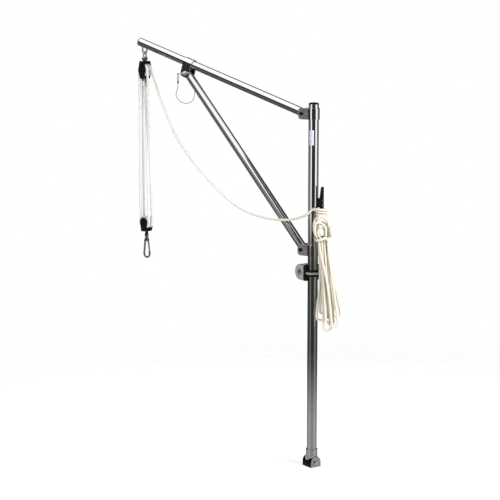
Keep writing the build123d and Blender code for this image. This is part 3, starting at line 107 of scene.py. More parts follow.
UPPER_Z = BLOCK_PIN_Z - 45
LOWER_Z = 864.0
NEAR_Y = 9.85
ROPE_R = 4.5
LAY_R = 21.5
PLATE = 3.5
CHEEK_Y = 16.2
BLOCK_HALF = 20.0
RAIL_TURN = np.radians(-20)
RAIL_X = np.array([np.cos(RAIL_TURN), np.sin(RAIL_TURN), 0])
CLEAT_Z = 1005.0
# The foot is round on top, about an axis at this height, and its socket is seated on that
FOOT_ROUND_R = 23.05
FOOT_ROUND_Z = 18.0


class BoomSizes(bpy.types.PropertyGroup):
    """Fineness of the surfaces and the size of the small eased edges."""

    round_steps: IntProperty(
        name="Round steps", description="Facets round a tube", default=96, min=24, max=256)
    edge: FloatProperty(
        name="Edge", description="Rounding of sheet and bar edges", default=0.0006,
        subtype="DISTANCE", unit="LENGTH")
    floor_radius: FloatProperty(
        name="Floor", description="Radius of the floor", default=2.6, subtype="DISTANCE", unit="LENGTH")


class BoomFinish(bpy.types.PropertyGroup):
    """Colours of the finishes."""

    stainless: FloatVectorProperty(
        name="Stainless", description="Polished tube", subtype="COLOR", size=3, default=(0.74, 0.74, 0.75))
    sheet: FloatVectorProperty(
        name="Sheet", description="Folded brackets", subtype="COLOR", size=3, default=(0.7, 0.69, 0.68))
    # Dark steel of the axles, swivel, wire and ferrule; on the pivot bolts it is painted shade, and on the
    # foot's flanks a painted dark reflection
    dark_steel_and_painted_shade: FloatVectorProperty(
        name="Dark steel", description="Pivot bolts and wire", subtype="COLOR", size=3,
        default=(0.04, 0.04, 0.042))
    bright: FloatVectorProperty(
        name="Bright steel", description="Release pin", subtype="COLOR", size=3, default=(0.92, 0.92, 0.92))
    patch: FloatVectorProperty(
        name="Patch", description="Bare patch on the mast", subtype="COLOR", size=3,
        default=(0.7, 0.75, 0.84))
    steel: FloatVectorProperty(
        name="Steel", description="Fasteners and forgings", subtype="COLOR", size=3,
        default=(0.42, 0.42, 0.43))
    black: FloatVectorProperty(
        name="Black plastic", description="Moulded cheeks, cleat and plugs", subtype="COLOR", size=3,
        default=(0.007, 0.007, 0.0075))
    grey: FloatVectorProperty(
        name="Grey plastic", description="Rail clamp", subtype="COLOR", size=3, default=(0.42, 0.42, 0.4))
    white: FloatVectorProperty(
        name="White plastic", description="Sheaves and washers", subtype="COLOR", size=3,
        default=(0.8, 0.8, 0.78))
    rope: FloatVectorProperty(
        name="Rope", description="Rope at the cleat", subtype="COLOR", size=3, default=(0.86, 0.81, 0.69))
    fall: FloatVectorProperty(
        name="Falls", description="Rope at the blocks", subtype="COLOR", size=3, default=(0.96, 0.96, 0.93))
    # Painted shade: the rope's colour between strands, in its furrows and where ropes lie close together
    rope_shade: FloatVectorProperty(
        name="Rope shade", description="Rope between strands", subtype="COLOR", size=3,
        default=(0.38, 0.33, 0.22))


# Surfaces: a shell is a grid of points whose columns close on themselves, and whether its rows do too

def unit(v):
    """Vectors scaled to length one."""
    v = np.asarray(v, float)
    return v / np.linalg.norm(v, axis=-1, keepdims=True)


def run_along(line):
    """Distance from a line's start to each of its points."""
    return np.concatenate([[0], np.cumsum(np.linalg.norm(np.diff(line, axis=0), axis=1))])


def placed(shell, origin, z_axis=Z, x_near=X):
    """A shell moved from its own axes: its z along z_axis and its x as near x_near as that leaves."""
    grid, ring = shell
    z = unit(z_axis)
    x = unit(np.asarray(x_near) - np.dot(x_near, z) * z)
    return grid @ np.stack([x, np.cross(z, x), z]) + np.asarray(origin), ring


def arcs(start, corner, end, t):
    """Points of round arcs between two ends whose tangents meet at a corner, equally far from both."""
    bend = (unit(start - corner) * unit(end - corner)).sum(-1, keepdims=True)
    pull = np.sqrt(np.clip((1 - bend) / 2, 0, 1))
    weights = (1 - t) ** 2, 2 * pull * t * (1 - t), t ** 2
    return (weights[0] * start + weights[1] * corner + weights[2] * end) / sum(weights)


def eased(points, reach, steps=5, closed=True):
    """Outline whose corners give way to arcs that start and end a reach away along their sides."""
    points = np.asarray(points, float)
    corners = points[:, None]
    back = unit(np.roll(points, 1, 0) - points)[:, None]
    ahead = unit(np.roll(points, -1, 0) - points)[:, None]
    t = np.linspace(0, 1, steps)[None, :, None]
    rounds = arcs(corners + reach * back, corners, corners + reach * ahead, t)
    if closed:
        return rounds.reshape(-1, points.shape[1])
    return np.concatenate([points[:1], rounds[1:-1].reshape(-1, points.shape[1]), points[-1:]])


def lathe(profile, ring=False, steps=None):
    """Profile of radius and height turned about z; a ring's profile closes on itself."""
    profile = np.asarray(profile, float)
    steps = steps or bpy.context.scene.boom_sizes.round_steps
    angle = np.linspace(0, TURN, steps, endpoint=False)
    radius, height = profile[:, :1], profile[:, 1:] + 0 * angle
    return np.stack([radius * np.cos(angle), radius * np.sin(angle), height], -1), ring


def spun(profile, edge, steps=None):
    """Solid about z: a profile from axis to axis, with its corners eased, turned once round."""
    return lathe(eased(profile, edge, closed=False), steps=steps)


def round_bar(radius, low, high, edge=0.5):
    """Solid bar about z with eased ends."""
    return spun([(1e-3, low), (radius, low), (radius, high), (1e-3, high)], edge)


def pipe(radius, bore, low, high, edge=0.3):
    """Hollow bar about z with eased ends."""
    return lathe(eased([(radius, low), (radius, high), (bore, high), (bore, low)], edge), ring=True)


def torus(radius, rod, steps=72):
    """Ring about z with a round section."""
    turn = np.linspace(0, TURN, 28, endpoint=False)
    return lathe(np.stack([radius + rod * np.cos(turn), rod * np.sin(turn)], 1), ring=True, steps=steps)


def hexagon(flats, low, high, chamfer=0.12, bore=0.0):
    """Hexagon bar about z: its radius at each heading, cut down by a cone at each end."""
    angle = np.linspace(0, TURN, 96, endpoint=False)
    side = flats / 2 / np.cos((angle + np.pi / 6) % (np.pi / 3) - np.pi / 6)
    depth = chamfer * flats
    level = np.array([0, 0.25, 0.5, 0.75, 1]) * depth * 0.6
    height = np.concatenate([low + level, high - level[::-1]])
    cone = flats / 2 * 0.97 + np.minimum(height - low, high - height) * 1.7
    radius = np.minimum(side, cone[:, None])
    if bore:
        radius = np.concatenate([0 * radius[:1] + bore, radius, 0 * radius[:1] + bore])
        height = np.concatenate([[low], height, [high]])
    spread = np.stack([np.cos(angle), np.sin(angle)], -1)
    rows = np.broadcast_to(height[:, None, None], radius.shape + (1,))
    return np.concatenate([radius[..., None] * spread, rows], -1), bool(bore)


def thread(radius, low, high, pitch=1.25):
    """Threaded bar about z: its radius falls and rises with height, a pitch for each turn."""
    angle = np.linspace(0, TURN, 48, endpoint=False)
    height = np.linspace(low, high, max(8, int((high - low) / pitch * 8)))[:, None] + 0 * angle
    wave = np.abs((height / pitch - angle / TURN) % 1 - 0.5) * 2
    fade = np.clip((high - height) / pitch, 0.15, 1)
    r = radius - 0.55 * wave * fade
    return np.stack([r * np.cos(angle), r * np.sin(angle), height], -1), False


def drawn_in(outline, inset):
    """Closed outline moved inwards by a distance."""
    before = unit(outline - np.roll(outline, 1, 0))
    after = unit(np.roll(outline, -1, 0) - outline)
    lean = unit(before + after)
    inward = np.stack([-lean[:, 1], lean[:, 0]], 1)
    square = np.clip((lean * after).sum(1, keepdims=True), 0.4, 1)
    return outline + inward * inset / square


def slab(outline, rows):
    """Plate whose rows are its outline drawn in by an inset at a height."""
    keep = np.linalg.norm(outline - np.roll(outline, 1, 0), axis=1) > 1e-6
    outline = outline[keep]
    layers = [np.column_stack([drawn_in(outline, inset), np.full(len(outline), h)]) for inset, h in rows]
    return np.stack(layers), False


def soft_rows(low, high, edge, steps=5):
    """Insets and heights of a plate whose two long edges are quarter rounds."""
    a = np.linspace(0, np.pi / 2, steps)
    inset, rise = edge * (1 - np.sin(a)), edge * (1 - np.cos(a))
    return list(zip(inset, low + rise)) + list(zip(inset[::-1], high - rise[::-1]))


def hull(circles, count=144):
    """Outline drawn tight round circles: for each heading, the point that reaches furthest that way."""
    circles = np.asarray(circles, float)
    angle = np.linspace(0, TURN, count, endpoint=False)
    heading = np.stack([np.cos(angle), np.sin(angle)])
    best = (circles[:, :2] @ heading + circles[:, 2:]).argmax(0)
    return circles[best, :2] + circles[best, 2:] * heading.T


def squared(way, near):
    """Two directions square to each way and to each other, the first as near `near` as that leaves."""
    near = np.broadcast_to(near, way.shape)
    x = unit(near - (near * way).sum(1, keepdims=True) * way)
    return x[:, None], np.cross(way, x)[:, None]


def swept(path, section, near, ring=False):
    """Section drawn along a path, square to it, with its own x as near `near` as that leaves."""
    path = np.asarray(path, float)
    way = np.roll(path, -1, 0) - np.roll(path, 1, 0) if ring else np.gradient(path, axis=0)
    x, y = squared(unit(way), near)
    return path[:, None] + section[..., :1] * x + section[..., 1:] * y, ring


def circle(radius, count=24):
    """Round section."""
    angle = np.linspace(0, TURN, count, endpoint=False)
    return radius * np.stack([np.cos(angle), np.sin(angle)], 1)


def rod(path, radius, near, tip=0.6, count=28):
    """Round bar along a path with eased ends: its radius falls away over the last of its length."""
    path = np.asarray(path, float)
    ends = unit(path[0] - path[1]), unit(path[-1] - path[-2])
    a = np.linspace(0, np.pi / 2, 5)[:, None]
    pull_in, shrink = tip * (1 - np.cos(a)), tip * (1 - np.sin(a[:, 0]))
    trail = np.concatenate([path[0] - ends[0] * pull_in, path[1:-1], path[-1] - (ends[1] * pull_in)[::-1]])
    size = np.concatenate([radius - shrink, np.full(len(path) - 2, radius), radius - shrink[::-1]])
    way = unit(np.gradient(path, axis=0))
    x, y = squared(np.concatenate([np.repeat(way[:1], 5, 0), way[1:-1], np.repeat(way[-1:], 5, 0)]), near)
    ring = circle(1, count)
    return trail[:, None] + size[:, None, None] * (ring[:, :1] * x + ring[:, 1:] * y), False


def mesh_of(name, shells):
    """Mesh of the shells in metres: quads between rows, flat faces on open ends, and u round and v along."""
    points, faces, coords, base = [], [], [], 0
    for grid, ring in shells:
        rows, cols = grid.shape[:2]
        index = base + np.arange(rows * cols).reshape(rows, cols)
        top, low = (index, np.roll(index, -1, 0)) if ring else (index[:-1], index[1:])
        quads = np.stack([top, np.roll(top, -1, 1), np.roll(low, -1, 1), low], -1).reshape(-1, 4)
        flat = grid.reshape(-1, 3)
        middle = grid.mean(1)
        run = run_along(np.concatenate([middle, middle[:1]]) if ring else middle) * MM
        u = np.arange(cols + 1) / cols
        pick = np.arange(len(top))[:, None] + 0 * np.arange(cols)
        around = 0 * pick + np.arange(cols)
        corner = [(around, pick), (around + 1, pick), (around + 1, pick + 1), (around, pick + 1)]
        uv = np.stack([np.stack([u[a], run[b]], -1) for a, b in corner], -2).reshape(-1, 4, 2)
        p = flat[quads - base] - flat.mean(0)
        turn = np.einsum("ij,ij->i", np.cross(p[:, 2] - p[:, 0], p[:, 3] - p[:, 1]), p.mean(1)).sum()
        caps = [] if ring else [index[0][::-1], index[-1]]
        if turn < 0:
            quads, uv, caps = quads[:, ::-1], uv[:, ::-1], [cap[::-1] for cap in caps]
        points.append(flat * MM)
        faces += quads.tolist() + [cap.tolist() for cap in caps]
        coords += [uv.reshape(-1, 2)] + [np.zeros((cols, 2))] * len(caps)
        base += rows * cols
    mesh = bpy.data.meshes.new(name)
    mesh.from_pydata(np.concatenate(points), [], faces)
    layer = mesh.uv_layers.new(name="run")
    layer.data.foreach_set("uv", np.concatenate(coords).astype(np.float32).ravel())
    mesh.shade_smooth()
    mesh.set_sharp_from_angle(angle=SHARP_FROM)
    return mesh


def show(name, shells, body, slot, look=None, nodes=None):
    """Piece made of shells, which stands for the solid of its name where no others are given."""
    mesh = mesh_of(name, shells)
    return dress(name, mesh, body, slot, look, [name] if nodes is None else nodes)


def solid_copy(name, body, slot, look=None):
    """Copy of a solid's own surface with its seams merged and its rounds shaded smooth."""
    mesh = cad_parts[name].data.copy()
    work = bmesh.new()
    work.from_mesh(mesh)
    bmesh.ops.remove_doubles(work, verts=work.verts, dist=2e-6)
    work.to_mesh(mesh)
    work.free()
    mesh.shade_smooth()
    mesh.set_sharp_from_angle(angle=SOLID_SHARP_FROM)
    return dress(name, mesh, body, slot, look, [name])


def dress(name, mesh, body, slot, look, nodes):
    """Object of a mesh in its finish, on its body, in place of its solids."""
    mesh.name = f"{name}_shown"
    thing = bpy.data.objects.new(mesh.name, mesh)
    bpy.context.collection.objects.link(thing)
    mesh.materials.clear()
    mesh.materials.append(finish(look or LOOKS[slot]))
    if slot != "rope":
        weights = thing.modifiers.new("weights", "WEIGHTED_NORMAL")
        weights.keep_sharp = True
    if body:
        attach(thing, body)
    if nodes:
        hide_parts(*nodes)
    return thing


# Finishes

def node_of(tree, kind, at=(0, 0), **values):
    """New shader node with some of its own settings."""
    made = tree.nodes.new(kind)
    made.location = at
    for key, value in values.items():
        setattr(made, key, value)
    return made


def wire(tree, source, target):
    """Link between two sockets."""
    tree.links.new(source, target)


def feed(tree, value, target):
    """A number, a colour or another socket into a socket."""
    if isinstance(value, bpy.types.NodeSocket):
        wire(tree, value, target)
    else:
        target.default_value = value


def maths(tree, operation, *values):
    """Math node on sockets or numbers."""
    made = node_of(tree, "ShaderNodeMath", operation=operation)
    for value, target in zip(values, made.inputs):
        feed(tree, value, target)
    return made.outputs[0]


def ramp(tree, value, span, levels):
    """Smooth step of a value from one level to another over a span, each level a number or a socket."""
    made = node_of(tree, "ShaderNodeMapRange", interpolation_type="SMOOTHSTEP")
    wire(tree, value, made.inputs["Value"])
    for label, level in zip(("From Min", "From Max", "To Min", "To Max"), (*span, *levels)):
        feed(tree, level, made.inputs[label])
    return made.outputs["Result"]


def own_place(tree):
    """Coordinates of the object itself."""
    return node_of(tree, "ShaderNodeTexCoord").outputs["Object"]


def split_up(tree, vector):
    """The three parts of a vector."""
    made = node_of(tree, "ShaderNodeSeparateXYZ")
    wire(tree, vector, made.inputs[0])
    return made.outputs


def group(name, inputs, outputs):
    """Empty shader group with named number inputs and outputs."""
    tree = bpy.data.node_groups.new(name, "ShaderNodeTree")
    for label, value in inputs.items():
        made = tree.interface.new_socket(label, in_out="INPUT", socket_type="NodeSocketFloat")
        made.default_value = value
    for label in outputs:
        tree.interface.new_socket(label, in_out="OUTPUT", socket_type="NodeSocketFloat")
    return tree, node_of(tree, "NodeGroupInput", (-900, 0)), node_of(tree, "NodeGroupOutput", (900, 0))


def noise(tree, scale, detail, vector=None):
    """Noise over the object's own coordinates, or over others."""
    made = node_of(tree, "ShaderNodeTexNoise")
    made.inputs["Scale"].default_value = scale
    made.inputs["Detail"].default_value = detail
    wire(tree, vector or own_place(tree), made.inputs["Vector"])
    return made.outputs["Fac"]


def marks_group():
    """Handled metal: cloudy smears and fine lines, as a roughness and a height."""
    if "handled_metal" in bpy.data.node_groups:
        return bpy.data.node_groups["handled_metal"]
    values = {"Low": 0.05, "High": 0.16, "Lines": 0.3}
    tree, given, out = group("handled_metal", values, ["Roughness", "Height"])
    smears = ramp(tree, noise(tree, 26.0, 4.0), (0.42, 0.68), (given.outputs["Low"], given.outputs["High"]))
    wire(tree, smears, out.inputs["Roughness"])
    stretch = node_of(tree, "ShaderNodeMapping")
    stretch.inputs["Scale"].default_value = (700, 700, 18)
    stretch.inputs["Rotation"].default_value = (0.35, 0.2, 0.1)
    wire(tree, own_place(tree), stretch.inputs["Vector"])
    lines = noise(tree, 1.0, 2.0, stretch.outputs["Vector"])
    wire(tree, maths(tree, "MULTIPLY", lines, given.outputs["Lines"]), out.inputs["Height"])
    return tree


def grain_group():
    """Moulded plastic: a fine grain as a height, and scuffed patches as a mask."""
    if "moulded_grain" in bpy.data.node_groups:
        return bpy.data.node_groups["moulded_grain"]
    tree, given, out = group("moulded_grain", {"Grain": 1.0, "Scuffs": 0.5}, ["Height", "Scuff"])
    grain = maths(tree, "MULTIPLY", noise(tree, 1400.0, 2.0), given.outputs["Grain"])
    wire(tree, grain, out.inputs["Height"])
    patches = ramp(tree, noise(tree, 90.0, 5.0), (0.5, 0.74), (0, 1))
    wire(tree, maths(tree, "MULTIPLY", patches, given.outputs["Scuffs"]), out.inputs["Scuff"])
    return tree


def braid_group():
    """Braid over u round and v along: two sets of strands that pass over each other by turns."""
    if "braid" in bpy.data.node_groups:
        return bpy.data.node_groups["braid"]
    tree, given, out = group("braid", {"Strands": 8.0, "Pitch": 0.0045}, ["Height", "Furrow"])
    u, v, _ = split_up(tree, node_of(tree, "ShaderNodeUVMap", uv_map="run").outputs["UV"])
    around = maths(tree, "MULTIPLY", u, given.outputs["Strands"])
    along = maths(tree, "DIVIDE", v, given.outputs["Pitch"])
    strands = maths(tree, "ADD", around, along), maths(tree, "SUBTRACT", around, along)
    cells = maths(tree, "ADD", *(maths(tree, "FLOOR", strand) for strand in strands))
    mix = node_of(tree, "ShaderNodeMix", data_type="FLOAT")
    wire(tree, maths(tree, "FLOORED_MODULO", cells, 2.0), mix.inputs["Factor"])
    for label, strand in zip("AB", strands):
        wave = maths(tree, "SINE", maths(tree, "MULTIPLY", strand, np.pi))
        wire(tree, maths(tree, "ABSOLUTE", wave), mix.inputs[label])
    wire(tree, mix.outputs["Result"], out.inputs["Height"])
    furrow = maths(tree, "SUBTRACT", 1.0, maths(tree, "POWER", mix.outputs["Result"], 0.35))
    wire(tree, furrow, out.inputs["Furrow"])
    return tree


def placed_group(tree, made, **values):
    """A shader group set in a material with its own values."""
    holder = node_of(tree, "ShaderNodeGroup", node_tree=made)
    for label, value in values.items():
        holder.inputs[label].default_value = value
    return holder


def bump(tree, height, strength, distance, shader):
    """Bump from a height into a shader's normal."""
    made = node_of(tree, "ShaderNodeBump")
    made.inputs["Strength"].default_value = strength
    made.inputs["Distance"].default_value = distance
    wire(tree, height, made.inputs["Height"])
    wire(tree, made.outputs["Normal"], shader.inputs["Normal"])


def tinted(tree, mask, first, second):
    """Colour between two by a mask."""
    mix = node_of(tree, "ShaderNodeMix", data_type="RGBA")
    wire(tree, mask, mix.inputs["Factor"])
    for label, colour in (("A", first), ("B", second)):
        feed(tree, colour, mix.inputs[label])
    return mix.outputs["Result"]


def solid_colour(name):
    """One of the panel's colours with its alpha."""
    return (*getattr(bpy.context.scene.boom_finish, name), 1)


# The finish of each slot, then the colour, least and most roughness and relief of each metal, and the colour,
# roughness and shine of each moulding
LOOKS = {"stainless": "polished_tube", "steel": "forged_steel", "black_plastic": "black_moulding",
         "grey_plastic": "grey_moulding", "white_plastic": "white_moulding", "rope": "braided_rope"}
METALS = {"polished_tube": ("stainless", 0.03, 0.08, 0), "folded_sheet": ("sheet", 0.26, 0.38, 0),
          "forged_steel": ("steel", 0.2, 0.34, 0.12), "dark_steel_and_painted_shade": ("dark_steel_and_painted_shade", 0.3, 0.45, 0.12),
          "foot_casting": ("sheet", 0.12, 0.24, 0), "bright_pin": ("bright", 0.3, 0.42, 0)}
MOULDINGS = {"black_moulding": ("black", 0.3, 0.24), "grey_moulding": ("grey", 0.42, 0.4),
             "white_moulding": ("white", 0.3, 0.5), "patch_film": ("patch", 0.4, 0.3)}


def metal(tree, shader, look):
    """Bare metal with handled marks, smoother where a sheet wraps the mast, with a painted dark reflection on
    the foot's flanks.
    """
    colour, low, high, relief = METALS[look]
    shader.inputs["Metallic"].default_value = 1.0
    shader.inputs["Base Color"].default_value = solid_colour(colour)
    marks = placed_group(tree, marks_group(), Low=low, High=high, Lines=0.5)
    rough = marks.outputs["Roughness"]
    if look == "folded_sheet":
        level = node_of(tree, "ShaderNodeVectorMath", operation="MULTIPLY")
        level.inputs[1].default_value = (1, 1, 0)
        wire(tree, own_place(tree), level.inputs[0])
        reach = node_of(tree, "ShaderNodeVectorMath", operation="LENGTH")
        wire(tree, level.outputs["Vector"], reach.inputs[0])
        wrap = ramp(tree, reach.outputs["Value"], (0.0222, 0.026), (0.15, 1))
        rough = maths(tree, "MULTIPLY", rough, wrap)
    wire(tree, rough, shader.inputs["Roughness"])
    # Painted reflection: the foot's flanks, picked by their normal, take the dark steel colour in place of
    # the dark reflection they show
    if look == "foot_casting":
        _, across, _ = split_up(tree, node_of(tree, "ShaderNodeTexCoord").outputs["Normal"])
        painted_reflection_mask = ramp(tree, maths(tree, "ABSOLUTE", across), (0.5, 0.8), (0, 1))
        painted_reflection_colour = tinted(tree, painted_reflection_mask, solid_colour(colour), solid_colour("dark_steel_and_painted_shade"))
        wire(tree, painted_reflection_colour, shader.inputs["Base Color"])
    if relief:
        bump(tree, marks.outputs["Height"], relief, 0.0002, shader)


def braided(tree, shader):
    """Braided rope, paler towards the blocks, with painted shade in its furrows and where ropes lie close
    together.
    """
    weave = placed_group(tree, braid_group(), Strands=8.0, Pitch=0.0045)
    outward = ramp(tree, split_up(tree, own_place(tree))[0], (0.05, 0.5), (0, 1))
    rope_colour = tinted(tree, outward, solid_colour("rope"), solid_colour("fall"))
    # Painted shade: an occlusion mask darkens the rope where ropes lie close together, and the braid's
    # furrows darken it too
    shade = node_of(tree, "ShaderNodeAmbientOcclusion", samples=8)
    shade.inputs["Distance"].default_value = 0.03
    furrow = maths(tree, "MULTIPLY", weave.outputs["Furrow"], 0.16)
    painted_contact_shade = maths(tree, "SUBTRACT", 1.0, maths(tree, "POWER", shade.outputs["AO"], 0.65))
    depth = maths(tree, "MAXIMUM", painted_contact_shade, furrow)
    # The rope's colour goes towards the painted shade colour by that mask
    wire(tree, tinted(tree, depth, rope_colour, solid_colour("rope_shade")), shader.inputs["Base Color"])
    shader.inputs["Roughness"].default_value = 0.85
    shader.inputs["Sheen Weight"].default_value = 0.25
    bump(tree, weave.outputs["Height"], 0.35, 0.0007, shader)


def moulded(tree, shader, look):
    """Moulded plastic with a fine grain and paler scuffs."""
    colour, rough, shine = MOULDINGS[look]
    base = solid_colour(colour)
    worn = (*(min(1.0, c * 1.25 + 0.01) for c in base[:3]), 1)
    grain = placed_group(tree, grain_group(), Grain=1.0, Scuffs=0.5)
    wire(tree, tinted(tree, grain.outputs["Scuff"], base, worn), shader.inputs["Base Color"])
    shader.inputs["Roughness"].default_value = rough
    shader.inputs["Specular IOR Level"].default_value = shine
    bump(tree, grain.outputs["Height"], 0.12, 0.0001, shader)


def finish(look):
    """The material of a look, built once."""
    if look in bpy.data.materials:
        return bpy.data.materials[look]
    made = bpy.data.materials.new(look)
    made.use_nodes = True
    tree = made.node_tree
    shader = tree.nodes["Principled BSDF"]
    if look in METALS:
        metal(tree, shader, look)
    elif look in MOULDINGS:
        moulded(tree, shader, look)
    else:
        braided(tree, shader)
    return made


# Tubes and their end plugs

def along_boom(shell, at=0.0):
    """A shell about z set along the boom, from its pivot."""
    return placed(shell, BOOM_PIVOT + at * BOOM_DIR, BOOM_DIR, Y)


def dome(radius):
    """Low dome on a rim, above a plain stem."""
    share = np.linspace(1, 0.002, 14)
    top = np.stack([radius * share, 3.5 + 3.5 * (1 - share ** 2)], 1)
    rim = eased([(radius - 2.2, -8), (radius - 2.2, 0), (radius - 0.1, 0), (radius, 0.6), (radius, 3.5)], 0.2,
                closed=False)
    return lathe(np.concatenate([[(1e-3, -8)], rim[:-1], top]))


def folded_strap(inner, length, reach, corner=13.0):
    """Strap round z whose two ears run along +x: a soft-edged strip whose height is drawn in at its ends."""
    edge = bpy.context.scene.boom_sizes.edge / MM
    middle = inner + SHEET / 2
    near_end = corner * (1 - np.cos(np.linspace(0, np.pi / 2, 14)))
    straight = np.concatenate([near_end, np.linspace(corner, reach, 6)[1:]])
    bend = np.linspace(np.pi / 2, 3 * np.pi / 2, 60)
    path = np.concatenate([
        np.stack([reach - straight, 0 * straight + middle], 1)[:-1],
        middle * np.stack([np.cos(bend), np.sin(bend)], 1),
        np.stack([reach - straight[::-1], 0 * straight - middle], 1)[1:]])
    outward = np.concatenate([np.tile([0.0, 1.0], (len(straight) - 1, 1)),
                              np.stack([np.cos(bend), np.sin(bend)], 1),
                              np.tile([0.0, -1.0], (len(straight) - 1, 1))])
    run = run_along(path)
    left = np.minimum(run, run[-1] - run)
    round_off = corner - np.sqrt(corner ** 2 - (corner - np.minimum(left, corner)) ** 2)
    half = length / 2 - round_off
    thin = SHEET / 2 - edge * (1 - np.sqrt(1 - (1 - np.minimum(left / edge, 1)) ** 2)) * 0.7
    a = np.linspace(0, np.pi / 2, 5)
    quarter = np.concatenate([a, a + np.pi / 2, a + np.pi, a + 1.5 * np.pi])
    sign = np.repeat([(1, 1), (-1, 1), (-1, -1), (1, -1)], 5, axis=0)
    depth = sign[:, 0] * (thin[:, None] - edge) + edge * np.cos(quarter)
    height = sign[:, 1] * (half[:, None] - edge) + edge * np.sin(quarter)
    flat = path[:, None] + depth[..., None] * outward[:, None]
    return np.concatenate([flat, height[..., None]], -1), False


# The bare patch on the mast: the headings that it spans in degrees, its middle and its height
PATCH_ARC = (73, 129)
PATCH_Z = 1244.5
PATCH_HEIGHT = 55.0


class BOOM_OT_tubes(bpy.types.Operator):
    """Mast, boom and strut tubes and their end plugs"""

    bl_idname = "boom.tubes"
    bl_label = "Tubes"

    def execute(self, context):
        show("mast_tube", [pipe(MAST_R, MAST_R - MAST_WALL, MAST_LOW, MAST_TOP)], "mast", "stainless")
        bore = BOOM_R - BOOM_WALL
        boom = along_boom(pipe(BOOM_R, bore, -TUBE_PAST_PIVOT, BOOM_END, 0.5))
        show("boom_tube", [boom], "mast", "stainless")
        strut = pipe(BOOM_R, bore, -TUBE_PAST_PIVOT, STRUT_LENGTH + TUBE_PAST_PIVOT, 0.5)
        show("strut_tube", [placed(strut, STRUT_PIVOT, STRUT_DIR, Y)], "mast", "stainless")
        show("mast_cap", [placed(dome(MAST_R), (0, 0, MAST_TOP))], "mast", "black_plastic")
        show("boom_tip_plug", [along_boom(dome(BOOM_R), BOOM_END)], "mast", "black_plastic")
        arc = np.radians(np.linspace(*PATCH_ARC, 40))
        radial = np.stack([np.cos(arc), np.sin(arc), 0 * arc], 1)
        half, film = PATCH_HEIGHT / 2, 0.09
        strip = eased([(film, half), (-film, half), (-film, -half), (film, -half)], 0.05, steps=3)
        patch = swept((MAST_R + 0.1) * radial + PATCH_Z * Z, strip, radial)
        show("bare_patch", [patch], "mast", "white_plastic", "patch_film", nodes=[])
        return {"FINISHED"}


class BOOM_OT_straps(bpy.types.Operator):
    """Folded brackets on the mast, the boom's saddle and the tip eye"""

    bl_idname = "boom.straps"
    bl_label = "Straps"

    def execute(self, context):
        for name, pivot in (("boom_bracket", BOOM_PIVOT), ("strut_bracket", STRUT_PIVOT)):
            strap = folded_strap(MAST_R + SEAT, STRAP_LENGTH, pivot[0] + EAR_PAST_PIVOT)
            show(name, [placed(strap, (0, 0, pivot[2]))], "mast", "stainless", "folded_sheet")
        saddle = folded_strap(BOOM_R + SEAT, STRAP_LENGTH, SADDLE_REACH)
        show("boom_saddle", [placed(saddle, SADDLE_AT, BOOM_DIR, BOOM_DOWN)], "mast", "stainless")
        bend = np.linspace(np.pi, TURN, 40)
        bow = EYE_BEND_R * np.stack([np.cos(bend), 0 * bend, 1 + np.sin(bend)], 1) + (EYE_X, 0, EYE_Z)
        feet = [EYE_FOOT + s * EYE_BEND_R * (X + np.tan(RISE) * Z) for s in (-1, 1)]
        path = np.concatenate([[feet[0] + 5 * Z], bow, [feet[1] + 5 * Z]])
        beads = [placed(torus(4.2, 1.5, 40), foot + 0.3 * Z, BOOM_DOWN, X) for foot in feet]
        show("tip_eye", [rod(path, EYE_ROD, Y)] + beads, "mast", "stainless")
        return {"FINISHED"}


class BOOM_OT_fasteners(bpy.types.Operator):
    """Pivot bolts, nuts and washers"""

    bl_idname = "boom.fasteners"
    bl_label = "Fasteners"

    def execute(self, context):
        face = MAST_STRAP_R
        bolts, nuts, washers = [], [], []
        for pivot in (BOOM_PIVOT, STRUT_PIVOT):
            bolts += [placed(hexagon(BOLT_HEAD, face, face + 5.3), pivot, Y, X),
                      placed(round_bar(BOLT_R, -face, face), pivot, Y, X),
                      placed(thread(BOLT_R, face - 1, face + 9.5), pivot, -Y, X)]
            nuts += [placed(hexagon(BOLT_HEAD, face, face + 5.25, bore=BOLT_BORE), pivot, -Y, X),
                     placed(pipe(5.72, BOLT_BORE, face + 5.2, face + 7.5, 0.6), pivot, -Y, X)]
            washer = pipe(10, BOLT_BORE, BOOM_R + SEAT, MAST_R, 0.4)
            washers += [placed(washer, pivot, side, X) for side in (Y, -Y)]
        # The pivot bolts are painted dark: painted shade for the shadow on their heads
        show("pivot_bolts", bolts, "mast", "steel", "dark_steel_and_painted_shade")
        show("pivot_nuts", nuts, "mast", "steel")
        show("pivot_washers", washers, "mast", "white_plastic")
        return {"FINISHED"}


class BOOM_OT_pin(bpy.types.Operator):
    """Quick-release pin with its pull ring and locking balls"""

    bl_idname = "boom.pin"
    bl_label = "Pin"

    def execute(self, context):
        collar, head, tip = PIN_COLLAR_Y, PIN_HEAD_Y, -SADDLE_R - 8
        profile = [(1e-3, tip), (3.9, tip), (4.75, tip + 1.4), (4.75, collar), (8.5, collar), (8.5, head),
                   (5.6, head + 0.5), (5.6, head + 1.6), (6, head + 2), (6, head + 9), (1e-3, head + 9)]
        shank = placed(spun(profile, 0.4), STRUT_PIN, Y, X)
        show("pin_shank", [shank], "release_pin", "steel", "bright_pin")
        axis = (np.sin(RING_TILT), 0, np.cos(RING_TILT))
        ring = placed(torus(RING_R, RING_ROD), STRUT_PIN + RING_Y * Y, axis, Y)
        show("pin_ring", [ring], "release_pin", "steel", "bright_pin")
        ball = np.linspace(-np.pi / 2 + 0.01, np.pi / 2 - 0.01, 20)
        sphere = lathe(2 * np.stack([np.cos(ball), np.sin(ball)], 1), steps=32)
        balls = [placed(sphere, STRUT_PIN + (0, -SADDLE_R - 3.6, s * 2.8)) for s in (1, -1)]
        show("pin_balls", balls, "release_pin", "steel")
        return {"FINISHED"}


